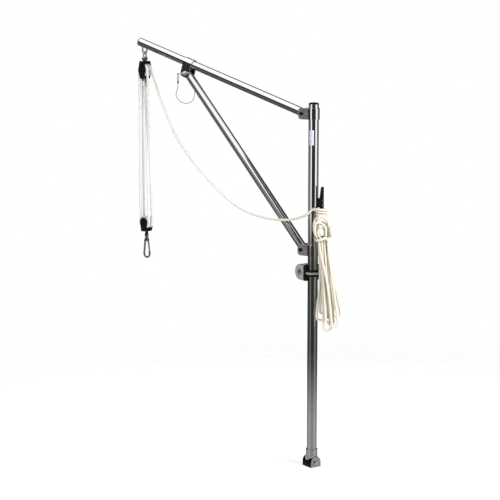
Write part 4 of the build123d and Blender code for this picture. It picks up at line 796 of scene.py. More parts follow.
class BOOM_OT_shackle(bpy.types.Operator):
    """Tip shackle and its pin"""

    bl_idname = "boom.shackle"
    bl_label = "Shackle"

    def execute(self, context):
        top = EYE_Z + EYE_ROD + 0.3 + SHACKLE_ROD
        bend = np.linspace(0, np.pi, 36)
        crown = (EYE_X, 0, top - SHACKLE_HALF)
        bow = SHACKLE_HALF * np.stack([0 * bend, np.cos(bend), np.sin(bend)], 1) + crown
        pin = np.array([EYE_X, 0, BLOCK_PIN_Z])
        path = np.concatenate([[pin + SHACKLE_HALF * Y], bow, [pin - SHACKLE_HALF * Y]])
        ears = [placed(pipe(6.5, SHACKLE_ROD + SEAT, 5, 11, 1.2), pin, side, X) for side in (Y, -Y)]
        show("shackle_bow", [rod(path, SHACKLE_ROD, X)] + ears, "shackle", "stainless")
        profile = [(1e-3, -11), (3, -11), (3, 11), (5, 11), (5, 14.5), (1e-3, 14.5)]
        show("shackle_pin", [placed(spun(profile, 0.6), pin, Y, X)], "shackle", "steel")
        return {"FINISHED"}


# Blocks: flat pieces lie in the XZ plane about the axle, with y towards the front

def flat(shell, axle_z):
    """A plate drawn across and up, set upright about an axle with its own height towards -Y."""
    return placed(shell, (EYE_X, 0, axle_z), -Y, X)


def cheek(circles, side):
    """Moulded cheek with a round outer edge, a raised rim and a boss at the axle."""
    a = np.linspace(0, np.pi / 2, 6)
    edge = 1.4
    rows = [(0.3, CHEEK_Y), (0, CHEEK_Y + 0.3)]
    rows += list(zip(edge * (1 - np.cos(a)), BLOCK_HALF - edge * (1 - np.sin(a))))
    rows += [(4.2, BLOCK_HALF), (4.7, BLOCK_HALF - 0.15), (5.1, BLOCK_HALF - 0.65), (5.6, BLOCK_HALF - 0.8)]
    rows = [(inset, -side * height) for inset, height in rows]
    boss = spun([(1e-3, CHEEK_Y + 1), (10.5, CHEEK_Y + 1), (9.6, BLOCK_HALF), (1e-3, BLOCK_HALF)], 0.5)
    return [slab(hull(circles), rows), placed(boss, (0, 0, 0), (0, 0, -side), X)]


def axle():
    """Axle across a block with a low domed head outside each cheek."""
    end = BLOCK_HALF + 1.5
    half = [(4, 0), (4, BLOCK_HALF), (5.25, BLOCK_HALF), (5.0, end - 0.5), (3.8, end), (1e-3, end)]
    profile = np.array([(r, -h) for r, h in half[::-1]] + half[1:])
    return spun(profile, 0.3)


def sheave():
    """Grooved wheel about z with a thin web and a hub."""
    half, groove = 6.05, 4.8
    turn = np.linspace(-np.pi / 2, np.pi / 2, 14)
    bed = np.stack([LAY_R - groove * np.cos(turn), groove * np.sin(turn)], 1)
    low = [(4.08, -half), (8.5, -half), (8.5, -2.5), (14.2, -2.5), (14.2, -half), (24, -half), (24, -5.3)]
    high = [(r, -h) for r, h in low[::-1]]
    return lathe(np.concatenate([low, bed, high]), ring=True)


def bar_across(inner, low, high, half=12.5, edge=0.8):
    """Flat bar inside a block, from the near cheek to a distance from the middle, with eased edges."""
    plan = eased([(half, CHEEK_Y), (-half, CHEEK_Y), (-half, inner), (half, inner)], edge)
    return slab(plan, soft_rows(low, high, edge))


def rope_arc(axle_z, y, start, sweep):
    """Rope round a sheave, from an angle measured from +X towards +Z."""
    angle = np.radians(np.linspace(start, start + sweep, 60))
    path = np.stack([EYE_X + LAY_R * np.cos(angle), 0 * angle + y, axle_z + LAY_R * np.sin(angle)], 1)
    return swept(path, circle(ROPE_R), Y)


TOP_CORNERS = [(-9, 32, 4), (9, 32, 4)]
LOW_CORNERS = [(-9, -33.5, 4), (9, -33.5, 4)]


class BOOM_OT_blocks(bpy.types.Operator):
    """Upper and lower blocks with their sheaves, axles and rope turns"""

    bl_idname = "boom.blocks"
    bl_label = "Blocks"

    def execute(self, context):
        upper = TOP_CORNERS + [(0, 0, 18.5), (0, -25, 11)]
        lower = LOW_CORNERS + [(0, 0, 18.5)]
        for part, circles, axle_z in (("upper", upper, UPPER_Z), ("lower", lower, LOWER_Z)):
            body = part + "_block"
            for word, side in (("near", 1), ("far", -1)):
                name = f"{part}_{word}_cheek"
                shells = [flat(shell, axle_z) for shell in cheek(circles, side)]
                show(name, shells, body, "black_plastic")
                wheel = f"{part}_sheave_{word}"
                turned = placed(sheave(), (EYE_X, side * NEAR_Y, axle_z), Y, X)
                show(wheel, [turned], f"{part}_{word}_wheel", "white_plastic")
            pin = placed(axle(), (EYE_X, 0, axle_z), Y, X)
            show(part + "_axle", [pin], body, "steel", "dark_steel_and_painted_shade")
        head = slab(hull([(0, 45, 8), (0, 0, 8)]), soft_rows(-PLATE, PLATE, 0.5))
        neck = slab(hull([(0, 0, 8), (0, -27, 8.6)]), soft_rows(-3.45, 3.45, 0.5))
        loop = placed(pipe(11.75, 6.25, -PLATE, PLATE, 1.2), (0, -40, 0))
        show("upper_lug_plate", [flat(s, UPPER_Z) for s in (head, neck, loop)], "upper_block", "stainless")
        centre = slab(hull([(0, 8, 8), (0, -19.5, 8)]), soft_rows(-PLATE, PLATE, 0.5))
        show("lower_centre_plate", [flat(centre, LOWER_Z)], "lower_block", "stainless")
        tie = placed(round_bar(2.3, -BLOCK_HALF, BLOCK_HALF), (EYE_X, 0, UPPER_Z + 30.5), Y, X)
        show("upper_tie_pin", [tie], "upper_block", "steel")
        ties = [placed(round_bar(1.8, -BLOCK_HALF, BLOCK_HALF), (EYE_X + s * 9.25, 0, LOWER_Z - 32.5), Y, X)
                for s in (1, -1)]
        show("lower_tie_pins", ties, "lower_block", "steel")
        cross = placed(bar_across(-CHEEK_Y, -10, 0), (EYE_X, 0, LOWER_Z - 27.5))
        show("lower_crosshead", [cross], "lower_block", "black_plastic")
        spacer = bar_across(PLATE, 26, 36)
        spacers = [placed(spacer, (EYE_X, 0, UPPER_Z), Z, side) for side in (X, -X)]
        show("upper_spacers", spacers, "upper_block", "black_plastic")
        over = [rope_arc(UPPER_Z, NEAR_Y, 0, 180), rope_arc(UPPER_Z, -NEAR_Y, 0, 158)]
        show("upper_rope_turns", over, "upper_block", "rope")
        under = [rope_arc(LOWER_Z, y, 180, 180) for y in (NEAR_Y, -NEAR_Y)]
        show("lower_rope_turns", under, "lower_block", "rope")
        return {"FINISHED"}


class BOOM_OT_hook(bpy.types.Operator):
    """Swivel eye, snap hook and sprung gate"""

    bl_idname = "boom.hook"
    bl_label = "Hook"

    def execute(self, context):
        top = LOWER_Z - 27.8
        eye_top = LOWER_Z - 37.8
        loop_r, loop_rod = 6.6, 2.9
        centre = eye_top - 2 - loop_r - loop_rod + 1
        profile = [(1e-3, top), (6.2, top), (6.2, top - 3.7), (4, top - 3.7), (4, eye_top), (7, eye_top),
                   (7, eye_top - 2), (4.5, eye_top - 3.2), (1e-3, eye_top - 4)]
        stem = placed(spun(profile, 0.4), (EYE_X, 0, 0))
        loop = placed(torus(loop_r, loop_rod), (EYE_X, 0, centre), X, Z)
        show("swivel_eye", [stem, loop], "swivel", "steel", "dark_steel_and_painted_shade")
        solid_copy("hook_body", "snap_hook", "steel")
        solid_copy("gate_pin", "snap_hook", "steel")
        solid_copy("hook_gate", "gate", "steel")
        return {"FINISHED"}


class BOOM_OT_foot(bpy.types.Operator):
    """Deck foot with its socket and cross bolt"""

    bl_idname = "boom.foot"
    bl_label = "Foot"

    def execute(self, context):
        # The foot's finish paints a dark reflection on its flanks
        solid_copy("foot_block", "deck_mount", "stainless", "foot_casting")
        angle = np.linspace(0, TURN, 96, endpoint=False)
        outer, bore = 22.13, 19.13
        low_outer, low_bore = (FOOT_ROUND_Z + np.sqrt(FOOT_ROUND_R ** 2 - (r * np.sin(angle)) ** 2)
                               for r in (outer, bore))
        spread = np.stack([np.cos(angle), np.sin(angle)], 1)
        rows = [(outer, low_outer), (outer, 0 * angle + 67.2), (outer - 0.3, 0 * angle + 67.8),
                (outer - 0.8, 0 * angle + 68), (bore + 0.5, 0 * angle + 68), (bore, 0 * angle + 67.5),
                (bore, low_bore)]
        grid = np.stack([np.column_stack([r * spread, h]) for r, h in rows])
        seam = np.column_stack([(outer + 0.2) * spread, low_outer + 0.4])
        ripple = 1.6 + 0.16 * np.sin(angle * 44)
        bead = swept(seam, circle(1, 16) * ripple[:, None, None], Z, ring=True)
        shells = [placed((grid, True), (0, 0, 0), Z, RAIL_X), placed(bead, (0, 0, 0), Z, RAIL_X)]
        show("foot_socket", shells, "deck_mount", "stainless")
        middle, face = (0, 0, 17), 28
        bolt = [placed(hexagon(BOLT_HEAD, face, 33.3), middle, -RAIL_X, Z),
                placed(round_bar(BOLT_R, -face, face), middle, RAIL_X, Z),
                placed(thread(BOLT_R, face - 1, 37.5), middle, RAIL_X, Z)]
        show("foot_bolt", bolt, "deck_mount", "steel", "bright_pin")
        nut = placed(hexagon(BOLT_HEAD, face, 35.5, bore=BOLT_BORE), middle, RAIL_X, Z)
        show("foot_nut", [nut], "deck_mount", "steel")
        show("thrust_pad", [round_bar(19, 30, 34)], "deck_mount", "white_plastic")
        return {"FINISHED"}


class BOOM_OT_clamp(bpy.types.Operator):
    """Rail clamp, its screws and the bush that the mast turns in"""

    bl_idname = "boom.clamp"
    bl_label = "Clamp"

    def execute(self, context):
        for half in ("clamp_upper", "clamp_lower"):
            solid_copy(half, "deck_mount", "grey_plastic")
        solid_copy("clamp_screws", "deck_mount", "steel")
        solid_copy("clamp_bush", "deck_mount", "black_plastic")
        return {"FINISHED"}


class BOOM_OT_cleat(bpy.types.Operator):
    """Cleat on the mast and its two screws"""

    bl_idname = "boom.cleat"
    bl_label = "Cleat"

    def execute(self, context):
        solid_copy("cleat", "mast", "black_plastic")
        profile = [(1e-3, 14), (2.5, 14), (2.5, 44.55), (4.5, 44.55), (4.2, 46.2), (2.6, 46.75),
                   (1e-3, 46.75)]
        screw = spun(profile, 0.3, steps=48)
        screws = [placed(screw, (0, 0, CLEAT_Z + apart), -X, Z) for apart in (8.5, -8.5)]
        show("cleat_screws", screws, "mast", "steel")
        return {"FINISHED"}


# Cords: the rope's run from the far upper sheave, the falls and the pin's lanyard

def spline_points(name, points, resolution=12):
    """Points along a smooth spline that is drawn by the route's own points, in metres."""
    curve = bpy.data.curves.new(name, "CURVE")
    curve.dimensions = "3D"
    curve.resolution_u = resolution
    spline = curve.splines.new("NURBS")
    spline.points.add(len(points) - 1)
    spline.points.foreach_set("co", np.column_stack([points, np.ones(len(points))]).ravel())
    spline.order_u = 3
    spline.use_endpoint_u = True
    holder = bpy.data.objects.new(name, curve)
    bpy.context.collection.objects.link(holder)
    bpy.context.view_layer.update()
    line = bpy.data.meshes.new_from_object(holder)
    found = np.empty(3 * len(line.vertices), np.float32)
    line.vertices.foreach_get("co", found)
    bpy.data.objects.remove(holder)
    bpy.data.curves.remove(curve)
    bpy.data.meshes.remove(line)
    return found.reshape(-1, 3).astype(float)


def corner_points(points, headings):
    """Two corners of the route between each two knots, where the arcs' tangents meet."""
    chord = points[1:] - points[:-1]
    spread = headings[1:] + headings[:-1]
    square = (spread ** 2).sum(1) - 4
    along = (chord * spread).sum(1)
    whole = (chord ** 2).sum(1)
    level = np.abs(square) < 1e-6
    safe = np.where(level, -1.0, square)
    root = np.sqrt(np.maximum(along ** 2 - safe * whole, 0))
    reach = np.where(level, whole / (2 * along), (along - root) / safe)[:, None]
    corners = np.stack([points[:-1] + reach * headings[:-1], points[1:] - reach * headings[1:]], 1)
    return corners.reshape(-1, 3)


# The hauling line's route points, then its turns round the cleat's neck and the way that the hank faces
HAUL_POINTS = [(797.19, -9.85, 1477.47), (755.23, -9.85, 1373.63), (705, -5, 1284), (648, -1, 1196),
               (560, 4, 1110), (478, 9, 1046), (376, 15, 977), (284, 21, 943), (198, 25, 931), (125, 28, 930),
               (58, 29, 940), (2, 29, 962), (-9.85, 21, 982)]
TURN_TOP_Z = 982.0
TURN_PITCH = 9.7
TURN_HALF_X = 14.0
TURN_HALF_Y = 21.0
TURN_X = -(MAST_R + 0.3 + ROPE_R + TURN_HALF_X)
TURN_QUARTERS = 12
FACING = np.radians(38)
HANK_SIDE = np.array([-np.cos(FACING), -np.sin(FACING), 0])
HANK_FRONT = np.array([-np.sin(FACING), np.cos(FACING), 0])

# The solid's neat hank: its layers' foot half widths, how far each swings aside, and how high its foot lies
HANK_HALVES = (21, 20, 22, 20)
HANK_SWINGS = (-22, 22, -3, 8)
HANK_DROPS = (42, 36, 0, 18)
HANK_TOP_Z, HANK_WAIST_Z, HANK_FOOT_Z = 930.0, 858.0, 533.0
HANK_TOP_SIDE, HANK_FOOT_SIDE = 36.0, 62.0
HANK_OUT = 49.0
HANK_TOP_HALF = 25.0
TOP_NEST = 12.6
TOP_PITCH, WAIST_PITCH, RUN_PITCH, FOOT_PITCH = 14.2, 9.9, 11.0, 13.9
CROWN_RISE = {(True, False): 0.46, (False, True): 0.0, (False, False): -1.15, (True, True): 1.3}

# The loose hank's loops: layer, half width at the waist, both sides and the height of the foot, and how far
# the two runs stray to the side and to the front half way down
LOOPS = ((0, 15, -45, -19, 566, (5, 0), (0, 2)), (0, 5, -31, -12, 592, (3, -2), (-2, -2)),
         (1, 5, 3, 22, 603, (-3, 2), (2, -2)), (1, 15, 17, 43, 584, (3, 2), (-4, 0)),
         (2, 15, -22, 4, 533, (3, 0), (-6, 2)), (2, 5, -4, 15, 554, (5, -3), (4, -3)),
         (3, 5, -14, 5, 576, (-3, 2), (-6, 2)), (3, 15, 7, 31, 549, (9, 3), (0, 3)))
# The crowns between the loops: how far the right and left corners lie from the middle, and how high
CROWNS = ((23, 16, 916, 936), (13, 17, 914, 906), (15, 28, 942, 922), (22, 31, 970, 950), (25, 15, 950, 968),
          (17, 17, 922, 908), (14, 29, 930, 952))
# The turn round the neck and the tail, from the middle to the side, to the front and up
NECK = ((19, 75, 886), (-15, 78, 874), (-27, 60, 869), (-27, 32, 872), (-16, 23.5, 876), (16, 23.5, 880),
        (27, 36, 884), (29, 62, 889), (31, 71, 906), (36, 70, 925))
NECK_Z, WAIST_LOW_Z, RUN_Z, SHOULDER_Z = 872, 843, 712, 895
# How far its neck is drawn to the side at some heights
DRAWN_Z = (700, 800, 845, 880, 900, 960)
DRAWN_SIDE = (0, -2, -6, -6, -8, -9)


def hank_middle(z):
    """How far to the side the neat hank's middle lies at a height: it leans from its top to its foot."""
    down = (HANK_TOP_Z - z) / (HANK_TOP_Z - HANK_FOOT_Z)
    return HANK_TOP_SIDE + (HANK_FOOT_SIDE - HANK_TOP_SIDE) * down


def hank_point(side, layer, z, pitch):
    """Point of the neat hank, to the side, to the front and up."""
    return np.array([hank_middle(z) + side, HANK_OUT + (layer - 1.5) * pitch, z])


def neat_crown(layer, outer, next_layer, next_outer):
    """Knots of a neat turn over the top, which may climb to the next layer on its way."""
    right, left = (HANK_TOP_HALF - (0 if out else TOP_NEST) for out in (outer, next_outer))
    climbs = next_layer != layer
    rise = CROWN_RISE[(outer, outer) if climbs else (outer, not outer)]
    shoulder = HANK_TOP_Z - HANK_TOP_HALF
    middle = layer + (0.47 if climbs else 0)
    return [(hank_point(right, layer, shoulder, TOP_PITCH), Z),
            (hank_point((right - left) / 2, middle, HANK_TOP_Z + rise * TOP_NEST, TOP_PITCH), -X),
            (hank_point(-left, next_layer, shoulder, TOP_PITCH), -Z)]


def neat_line():
    """The solid's hank as points along arcs: loops that spiral in and out by turns, joined over the top."""
    order = [(layer, outer) for layer in range(4) for outer in ((True, False), (False, True))[layer % 2]]
    start = hank_point(-HANK_TOP_HALF, 0, HANK_TOP_Z - HANK_TOP_HALF + 2 * ROPE_R, TOP_PITCH)
    knots = [(start, -Z), (start - 2 * ROPE_R * Z, -Z)]
    for (layer, outer), following in zip(order, order[1:] + [None]):
        nest = 0 if outer else WAIST_PITCH + 2
        waist = WAIST_PITCH * (1.5 if outer else 0.5)
        swing, half = HANK_SWINGS[layer], HANK_HALVES[layer] - nest
        foot = HANK_FOOT_Z + nest + HANK_DROPS[layer]
        knots += [(hank_point(-waist, layer, HANK_WAIST_Z, WAIST_PITCH), -Z),
                  (hank_point(swing - half, layer, foot + half, FOOT_PITCH), -Z),
                  (hank_point(swing, layer, foot, FOOT_PITCH), X),
                  (hank_point(swing + half, layer, foot + half, FOOT_PITCH), Z),
                  (hank_point(waist, layer, HANK_WAIST_Z, WAIST_PITCH), Z)]
        if following:
            knots += neat_crown(layer, outer, *following)
    knots.append((knots[-1][0] + 2 * ROPE_R * Z, Z))
    points, headings = (np.array(part) for part in zip(*knots))
    corners = corner_points(points, headings)
    meet = corners.reshape(-1, 2, 3).mean(1)
    starts = np.stack([points[:-1], meet], 1).reshape(-1, 1, 3)
    ends = np.stack([meet, points[1:]], 1).reshape(-1, 1, 3)
    t = np.linspace(0, 1, 12, endpoint=False)[:, None]
    line = arcs(starts, corners[:, None], ends, t).reshape(-1, 3)
    return np.concatenate([line, points[-1:]])


def loose_points(start):
    """Route points of the loose hank before it settles, whose neck is drawn towards the mast."""
    def drawn(z):
        return np.interp(z, DRAWN_Z, DRAWN_SIDE)

    def at(side, layer, z, pitch):
        return hank_point(side, layer, z, pitch) + drawn(z) * X

    route = [start, start - 14 * Z]
    for k, (layer, waist, left, right, foot, *strays) in enumerate(LOOPS):
        heel = foot + right - left
        share = 0.78 * (WAIST_LOW_Z - RUN_Z) / (WAIST_LOW_Z - heel)
        runs = []
        for here, there, (side, front) in zip((-waist, waist), (left, right), strays):
            runs.append(at(here + share * (there - here) + side, layer, RUN_Z, RUN_PITCH) + front * Y)
        route += [at(-waist, layer, z, WAIST_PITCH) for z in (NECK_Z, WAIST_LOW_Z)]
        corners = (left, heel), (left, foot), (right, foot), (right, heel)
        route += [runs[0], *(at(side, layer, z, FOOT_PITCH) for side, z in corners), runs[1]]
        route.append(at(waist, layer, WAIST_LOW_Z, WAIST_PITCH))
        if k < len(CROWNS):
            right, left, high, low = CROWNS[k]
            following = LOOPS[k + 1][0]
            climb = 0.15 if following != layer else 0
            route += [at(waist, layer, NECK_Z - 6, WAIST_PITCH),
                      at(right, layer, min(SHOULDER_Z, high - 16), TOP_PITCH),
                      at(right, layer + climb, high, TOP_PITCH),
                      at(-left, following - climb, low, TOP_PITCH),
                      at(-left, following, min(SHOULDER_Z, low - 16), TOP_PITCH)]
    route += [np.array([hank_middle(z) + drawn(z) + side, front, z]) for side, front, z in NECK]
    return np.array(route)


def spline_weights(count, steps=10):
    """Share of each route point in each sample of the smooth spline that they draw."""
    u = np.linspace(0, count - 2, (count - 2) * steps + 1)
    low = np.minimum(u.astype(int), count - 3)
    first = (low + 1 - u) ** 2 / (low + 1 - np.maximum(low - 1, 0))
    last = (u - low) ** 2 / (np.minimum(low + 2, count - 2) - low)
    weights = np.zeros((len(u), count))
    rows = np.arange(len(u))
    for offset, part in enumerate((first, 1 - first - last, last)):
        weights[rows, low + offset] = part
    return weights


def square_gaps(a, b):
    """Squared distances between two sets of points."""
    return (a ** 2).sum(1)[:, None] + (b ** 2).sum(1) - 2 * a @ b.T


# How the hank settles: least gaps between the rope's middle and itself and the mast's, most distance from
# the solid's line, and least run along the rope between two places that may touch
CLEAR = 9.5
MAST_CLEAR = 25.0
STRAY = 15.0
APART = 28.0
# Its steps, how often and how widely they search, which way the rope gives way, and how far it moves
SETTLE_STEPS = 600
SEARCH_EVERY = 10
SOLID_NEAR = 40
GIVE_WAY = (0.6, 1.4, 0.35)
PUSH = 1.6
LEAN_BACK = 0.012
LONGEST_STEP = 2


def settled(start, solid):
    """Route points pushed a little at a time until the rope lies clear of itself and near the solid's line.

    Where two stretches come closer than they may, each gives way by half of what is missing, mostly to the
    front or the back, so that they pass over each other. What comes too near the mast or strays too far from
    the solid's line is moved back. A route point moves by its stretch's mean and leans back to its start.
    """
    points = start.copy()
    weights = spline_weights(len(points))
    share = weights.sum(0)[:, None]
    for step in range(SETTLE_STEPS):
        line = weights @ points
        if step % SEARCH_EVERY == 0:
            first, second = np.triu(square_gaps(line, line) < (2 * CLEAR) ** 2, 1).nonzero()
            about = np.argpartition(square_gaps(line, solid), SOLID_NEAR)[:, :SOLID_NEAR]
        run = run_along(line)
        away = line[first] - line[second]
        gap = np.linalg.norm(away, axis=1, keepdims=True)
        touch = (gap[:, 0] < CLEAR) & (np.abs(run[first] - run[second]) > APART)
        one, two, gap = first[touch], second[touch], gap[touch]
        push = (CLEAR - gap) / 2 * unit(away[touch] / gap * GIVE_WAY)
        move = np.zeros_like(line)
        np.add.at(move, one, push)
        np.add.at(move, two, -push)
        move /= np.maximum(np.bincount(np.concatenate([one, two]), minlength=len(line)), 1)[:, None]
        reach = np.hypot(line[:, :1], line[:, 1:2])
        move[:, :2] += np.maximum(MAST_CLEAR / reach - 1, 0) * line[:, :2]
        back = solid[about] - line[:, None]
        nearest = np.linalg.norm(back, axis=2).argmin(1)
        back = back[np.arange(len(line)), nearest]
        stray = np.linalg.norm(back, axis=1, keepdims=True)
        move += (1 - STRAY / np.maximum(stray, STRAY)) * back
        step_by = PUSH * (weights.T @ move) / share + LEAN_BACK * (start - points)
        points[2:] += np.clip(step_by[2:], -LONGEST_STEP, LONGEST_STEP)
    return np.round(points)


def rope_route():
    """The rope's route points from the far upper sheave to its tail, with a direction across it at each."""
    quarter = np.arange(TURN_QUARTERS)
    angle = np.pi / 2 * (1 + quarter)
    height = TURN_TOP_Z - TURN_PITCH * quarter / 4
    turns = np.stack([TURN_X + TURN_HALF_X * np.cos(angle), TURN_HALF_Y * np.sin(angle), height], 1)
    fall = 0 * angle - TURN_PITCH / TURN
    headings = unit(np.stack([-TURN_HALF_X * np.sin(angle), TURN_HALF_Y * np.cos(angle), fall], 1))
    headings[0] = -X
    neat = neat_line()
    hank = settled(loose_points(neat[0]), neat) @ np.stack([HANK_SIDE, HANK_FRONT, Z])
    corners = corner_points(np.concatenate([turns, hank[:1]]), np.concatenate([headings, [-Z]]))
    route = np.concatenate([HAUL_POINTS, corners, hank[1:]])
    # Across the hauling line, the cleat turns, the loops, the neck turn and the tail
    counts = len(HAUL_POINTS), len(corners) - 2, len(hank) - 8, 6, 3
    square = np.repeat([Y, Z, HANK_FRONT, Z, HANK_SIDE], counts, axis=0)
    return route, square


# Metres of the hauling line that follow the upper block and the shackle
LINE_HEAD = 0.28


class BOOM_OT_rope(bpy.types.Operator):
    """The hauling line, its turns round the cleat and the hank, as one rope"""

    bl_idname = "boom.rope"
    bl_label = "Rope"

    def execute(self, context):
        route, square = rope_route()
        route = route * MM
        line = spline_points("rope_route", route)
        at = np.linspace(0, len(route) - 1, len(line))
        near = np.stack([np.interp(at, np.arange(len(route)), square[:, k]) for k in range(3)], 1)
        run = run_along(line)
        split = int(np.searchsorted(run, LINE_HEAD))
        cords = (("line_head", slice(0, split + 1), ["hauling_line"], "object"),
                 ("rope", slice(split, None), ["hauling_line", "cleat_turns", "rope_hank"], "bare"))
        for name, span, nodes, far_end in cords:
            path = line[span]
            cord = show(name, [swept(path / MM, circle(ROPE_R, 20), near[span])], None, "rope", nodes=nodes)
            if name == "rope":
                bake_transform(cord)
            else:
                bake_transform(cord)
        return {"FINISHED"}


class BOOM_OT_falls(bpy.types.Operator):
    """The four falls between the blocks and the spliced eye that the first one starts from"""

    bl_idname = "boom.falls"
    bl_label = "Falls"

    def execute(self, context):
        out, inn = EYE_X + LAY_R, EYE_X - LAY_R
        splice_z = UPPER_Z - 69
        runs = {"fall_near": ((out, NEAR_Y, UPPER_Z), (out, NEAR_Y, LOWER_Z), "tackle_falls"),
                "fall_far": ((out, -NEAR_Y, UPPER_Z), (out, -NEAR_Y, LOWER_Z), "tackle_falls"),
                "fall_cross": ((inn, NEAR_Y, UPPER_Z), (inn, -NEAR_Y, LOWER_Z), "tackle_falls"),
                "fall_becket": ((EYE_X, 0, splice_z), (inn, NEAR_Y, LOWER_Z), "becket_fall")}
        for name, (top, low, node) in runs.items():
            path = np.linspace(top, low, 90)
            fall = show(name, [swept(path, circle(ROPE_R), Y)], None, "rope", nodes=[node])
            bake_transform(fall)
        bend = np.linspace(0, np.pi, 30)
        half, throat = 8.3, UPPER_Z - 60
        bow = np.stack([0 * bend + EYE_X, half * np.cos(bend), UPPER_Z - 48.3 + half * np.sin(bend)], 1)
        path = np.concatenate([np.linspace((EYE_X, half, throat - 3), bow[0], 6)[:-1], bow,
                               np.linspace(bow[-1], (EYE_X, -half, throat - 3), 6)[1:]])
        share = np.linspace(0, 1, 40)[:, None]
        angle = np.linspace(0, TURN, 48, endpoint=False)
        half_x = 7.5 + (ROPE_R - 7.5) * share
        half_y = 13.3 + (ROPE_R - 13.3) * share
        whip = 0.35 * np.abs(np.sin(share * np.pi * 9))
        whipped = np.stack([EYE_X + (half_x + whip) * np.cos(angle), (half_y + whip) * np.sin(angle),
                            throat - 9 * share + 0 * angle], -1)
        show("becket_splice", [swept(path, circle(ROPE_R), X), (whipped, False)], "upper_block", "rope")
        return {"FINISHED"}


class BOOM_OT_lanyard(bpy.types.Operator):
    """Wire lanyard of the pin with its pressed ferrules"""

    bl_idname = "boom.lanyard"
    bl_label = "Lanyard"

    def execute(self, context):
        seat = STRUT_PIN + RING_Y * Y + 8.4 * (X + Y - np.tan(RING_TILT) * Z)
        foot = seat - 26 * Z
        half = RING_ROD + WIRE_R + 0.3
        side, across = unit([1, 1, 0]) * half, unit([1, -1, 0])
        bend = np.linspace(0, np.pi, 24)[:, None]
        bow = seat - side * np.cos(bend) + half * np.sin(bend) * Z
        path = np.concatenate([[foot - side], bow, [foot + side]])
        profile = [(1e-3, -10), (2.3, -10), (2.9, -9), (2.9, -1), (2.3, 0.3), (1e-3, 0.3)]
        eye = [swept(path, circle(WIRE_R, 14), across), placed(spun(profile, 0.4, steps=40), foot)]
        show("lanyard_ferrule", eye, "release_pin", "steel", "dark_steel_and_painted_shade")
        anchor = STRUT_PIN + (-9, -SADDLE_R - 2.3 - SEAT, -5)
        end = placed(round_bar(2.3, -10, 0, 0.5), anchor)
        show("lanyard_anchor", [end], "mast", "steel")
        hung = [(633, 34, 1378), (622, 21, 1354), (605, 8, 1345), (589, -6, 1349), (580, -17, 1366),
                (580, -22, 1390)]
        route = np.array([foot - 10 * Z, foot - 28 * Z, *hung, anchor - 28 * Z, anchor - 10 * Z])
        line = spline_points("lanyard_route", route * MM)
        wire_shell = swept(line / MM, circle(WIRE_R, 12), across)
        cord = show("pin_lanyard", [wire_shell], None, "steel", "dark_steel_and_painted_shade")
        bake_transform(cord)
        return {"FINISHED"}


# Stage: camera, soft lights, floor, and a surround whose panels the polished tubes show as bright strips

CAMERA_AT = (-3.3384, 4.7465, 1.7295)
CAMERA_TURN, CAMERA_PITCH = np.radians((-52.5754, 8.8543))
CAMERA_LENS = 113.89
# Each light's name, place, size, power and target, and whether polished metal shows it
LIGHTS = (("key", (-4.0, 0.2, 3.0), (1.2, 1.2), 190, (0.35, 0, 1.0), False),
          ("fill", (-1.6, 3.8, 3.2), (2.4, 2.4), 60, (0.35, 0, 1.0), False),
          ("top", (0.94, 1.43, 3), (3.32, 4.35), 59, (0.94, 1.43, 0), True))
FRONT = float(np.radians(126))
DIM_LEVEL = 0.035
# Panels of the surround: heading from the front, half width and soft edge in degrees, and level
PANELS = ((-52, 13, 3, 1.3), (-90, 8, 4, 0.45), (60, 21, 7, 1.25), (115, 30, 12, 0.13))
LOW_PANELS = ((-51, 9, 4, 0.9), (14, 13, 5, 0.85), (89, 10, 5, 0.8), (139, 13, 5, 0.9), (171, 5, 3, 0.8))


def add_camera(scene):
    """Long-lens camera that stands where the photograph was taken from."""
    camera = bpy.data.objects.new("camera", bpy.data.cameras.new("camera"))
    scene.collection.objects.link(camera)
    camera.location = CAMERA_AT
    level = np.cos(CAMERA_PITCH)
    heading = Vector((np.cos(CAMERA_TURN) * level, np.sin(CAMERA_TURN) * level, -np.sin(CAMERA_PITCH)))
    camera.rotation_euler = heading.to_track_quat("-Z", "Y").to_euler()
    camera.data.lens = CAMERA_LENS
    camera.data.sensor_width = 36
    scene.camera = camera


def add_light(name, place, size, power, target, reflected):
    """Soft rectangular light that faces a point."""
    lamp = bpy.data.lights.new(name, "AREA")
    lamp.shape = "RECTANGLE"
    lamp.size, lamp.size_y = size
    lamp.energy = power
    thing = bpy.data.objects.new(name, lamp)
    thing.location = place
    thing.rotation_euler = (Vector(target) - Vector(place)).to_track_quat("-Z", "Y").to_euler()
    thing.visible_glossy = reflected
    bpy.context.collection.objects.link(thing)


def mixed_shader(tree, share, first, second):
    """Shader between two by a share."""
    mix = node_of(tree, "ShaderNodeMixShader")
    for source, target in zip((share, first.outputs[0], second.outputs[0]), mix.inputs):
        wire(tree, source, target)
    return mix.outputs[0]


def floor_finish(radius):
    """Pale matt floor that fades into the backdrop towards its rim."""
    made = bpy.data.materials.new("floor")
    made.use_nodes = True
    tree = made.node_tree
    shader = tree.nodes["Principled BSDF"]
    shader.inputs["Base Color"].default_value = (0.9, 0.9, 0.9, 1)
    shader.inputs["Roughness"].default_value = 0.9
    shader.inputs["Emission Color"].default_value = (1, 1, 1, 1)
    shader.inputs["Emission Strength"].default_value = 0.45
    away = node_of(tree, "ShaderNodeVectorMath", operation="LENGTH")
    wire(tree, own_place(tree), away.inputs[0])
    fade = ramp(tree, away.outputs["Value"], (radius * 0.2, radius * 0.98), (0, 1))
    clear = node_of(tree, "ShaderNodeBsdfTransparent")
    mixed = mixed_shader(tree, fade, shader, clear)
    wire(tree, mixed, tree.nodes["Material Output"].inputs["Surface"])
    return made


def panel_row(tree, turn, row):
    """Brightness of a row of upright panels at each heading."""
    total = 0.0
    for centre, half, soft, power in row:
        off = maths(tree, "ABSOLUTE", maths(tree, "SUBTRACT", turn, float(np.radians(centre))))
        panel = ramp(tree, off, np.radians((half + soft, half - soft)), (0, power))
        total = maths(tree, "ADD", panel, total)
    return total


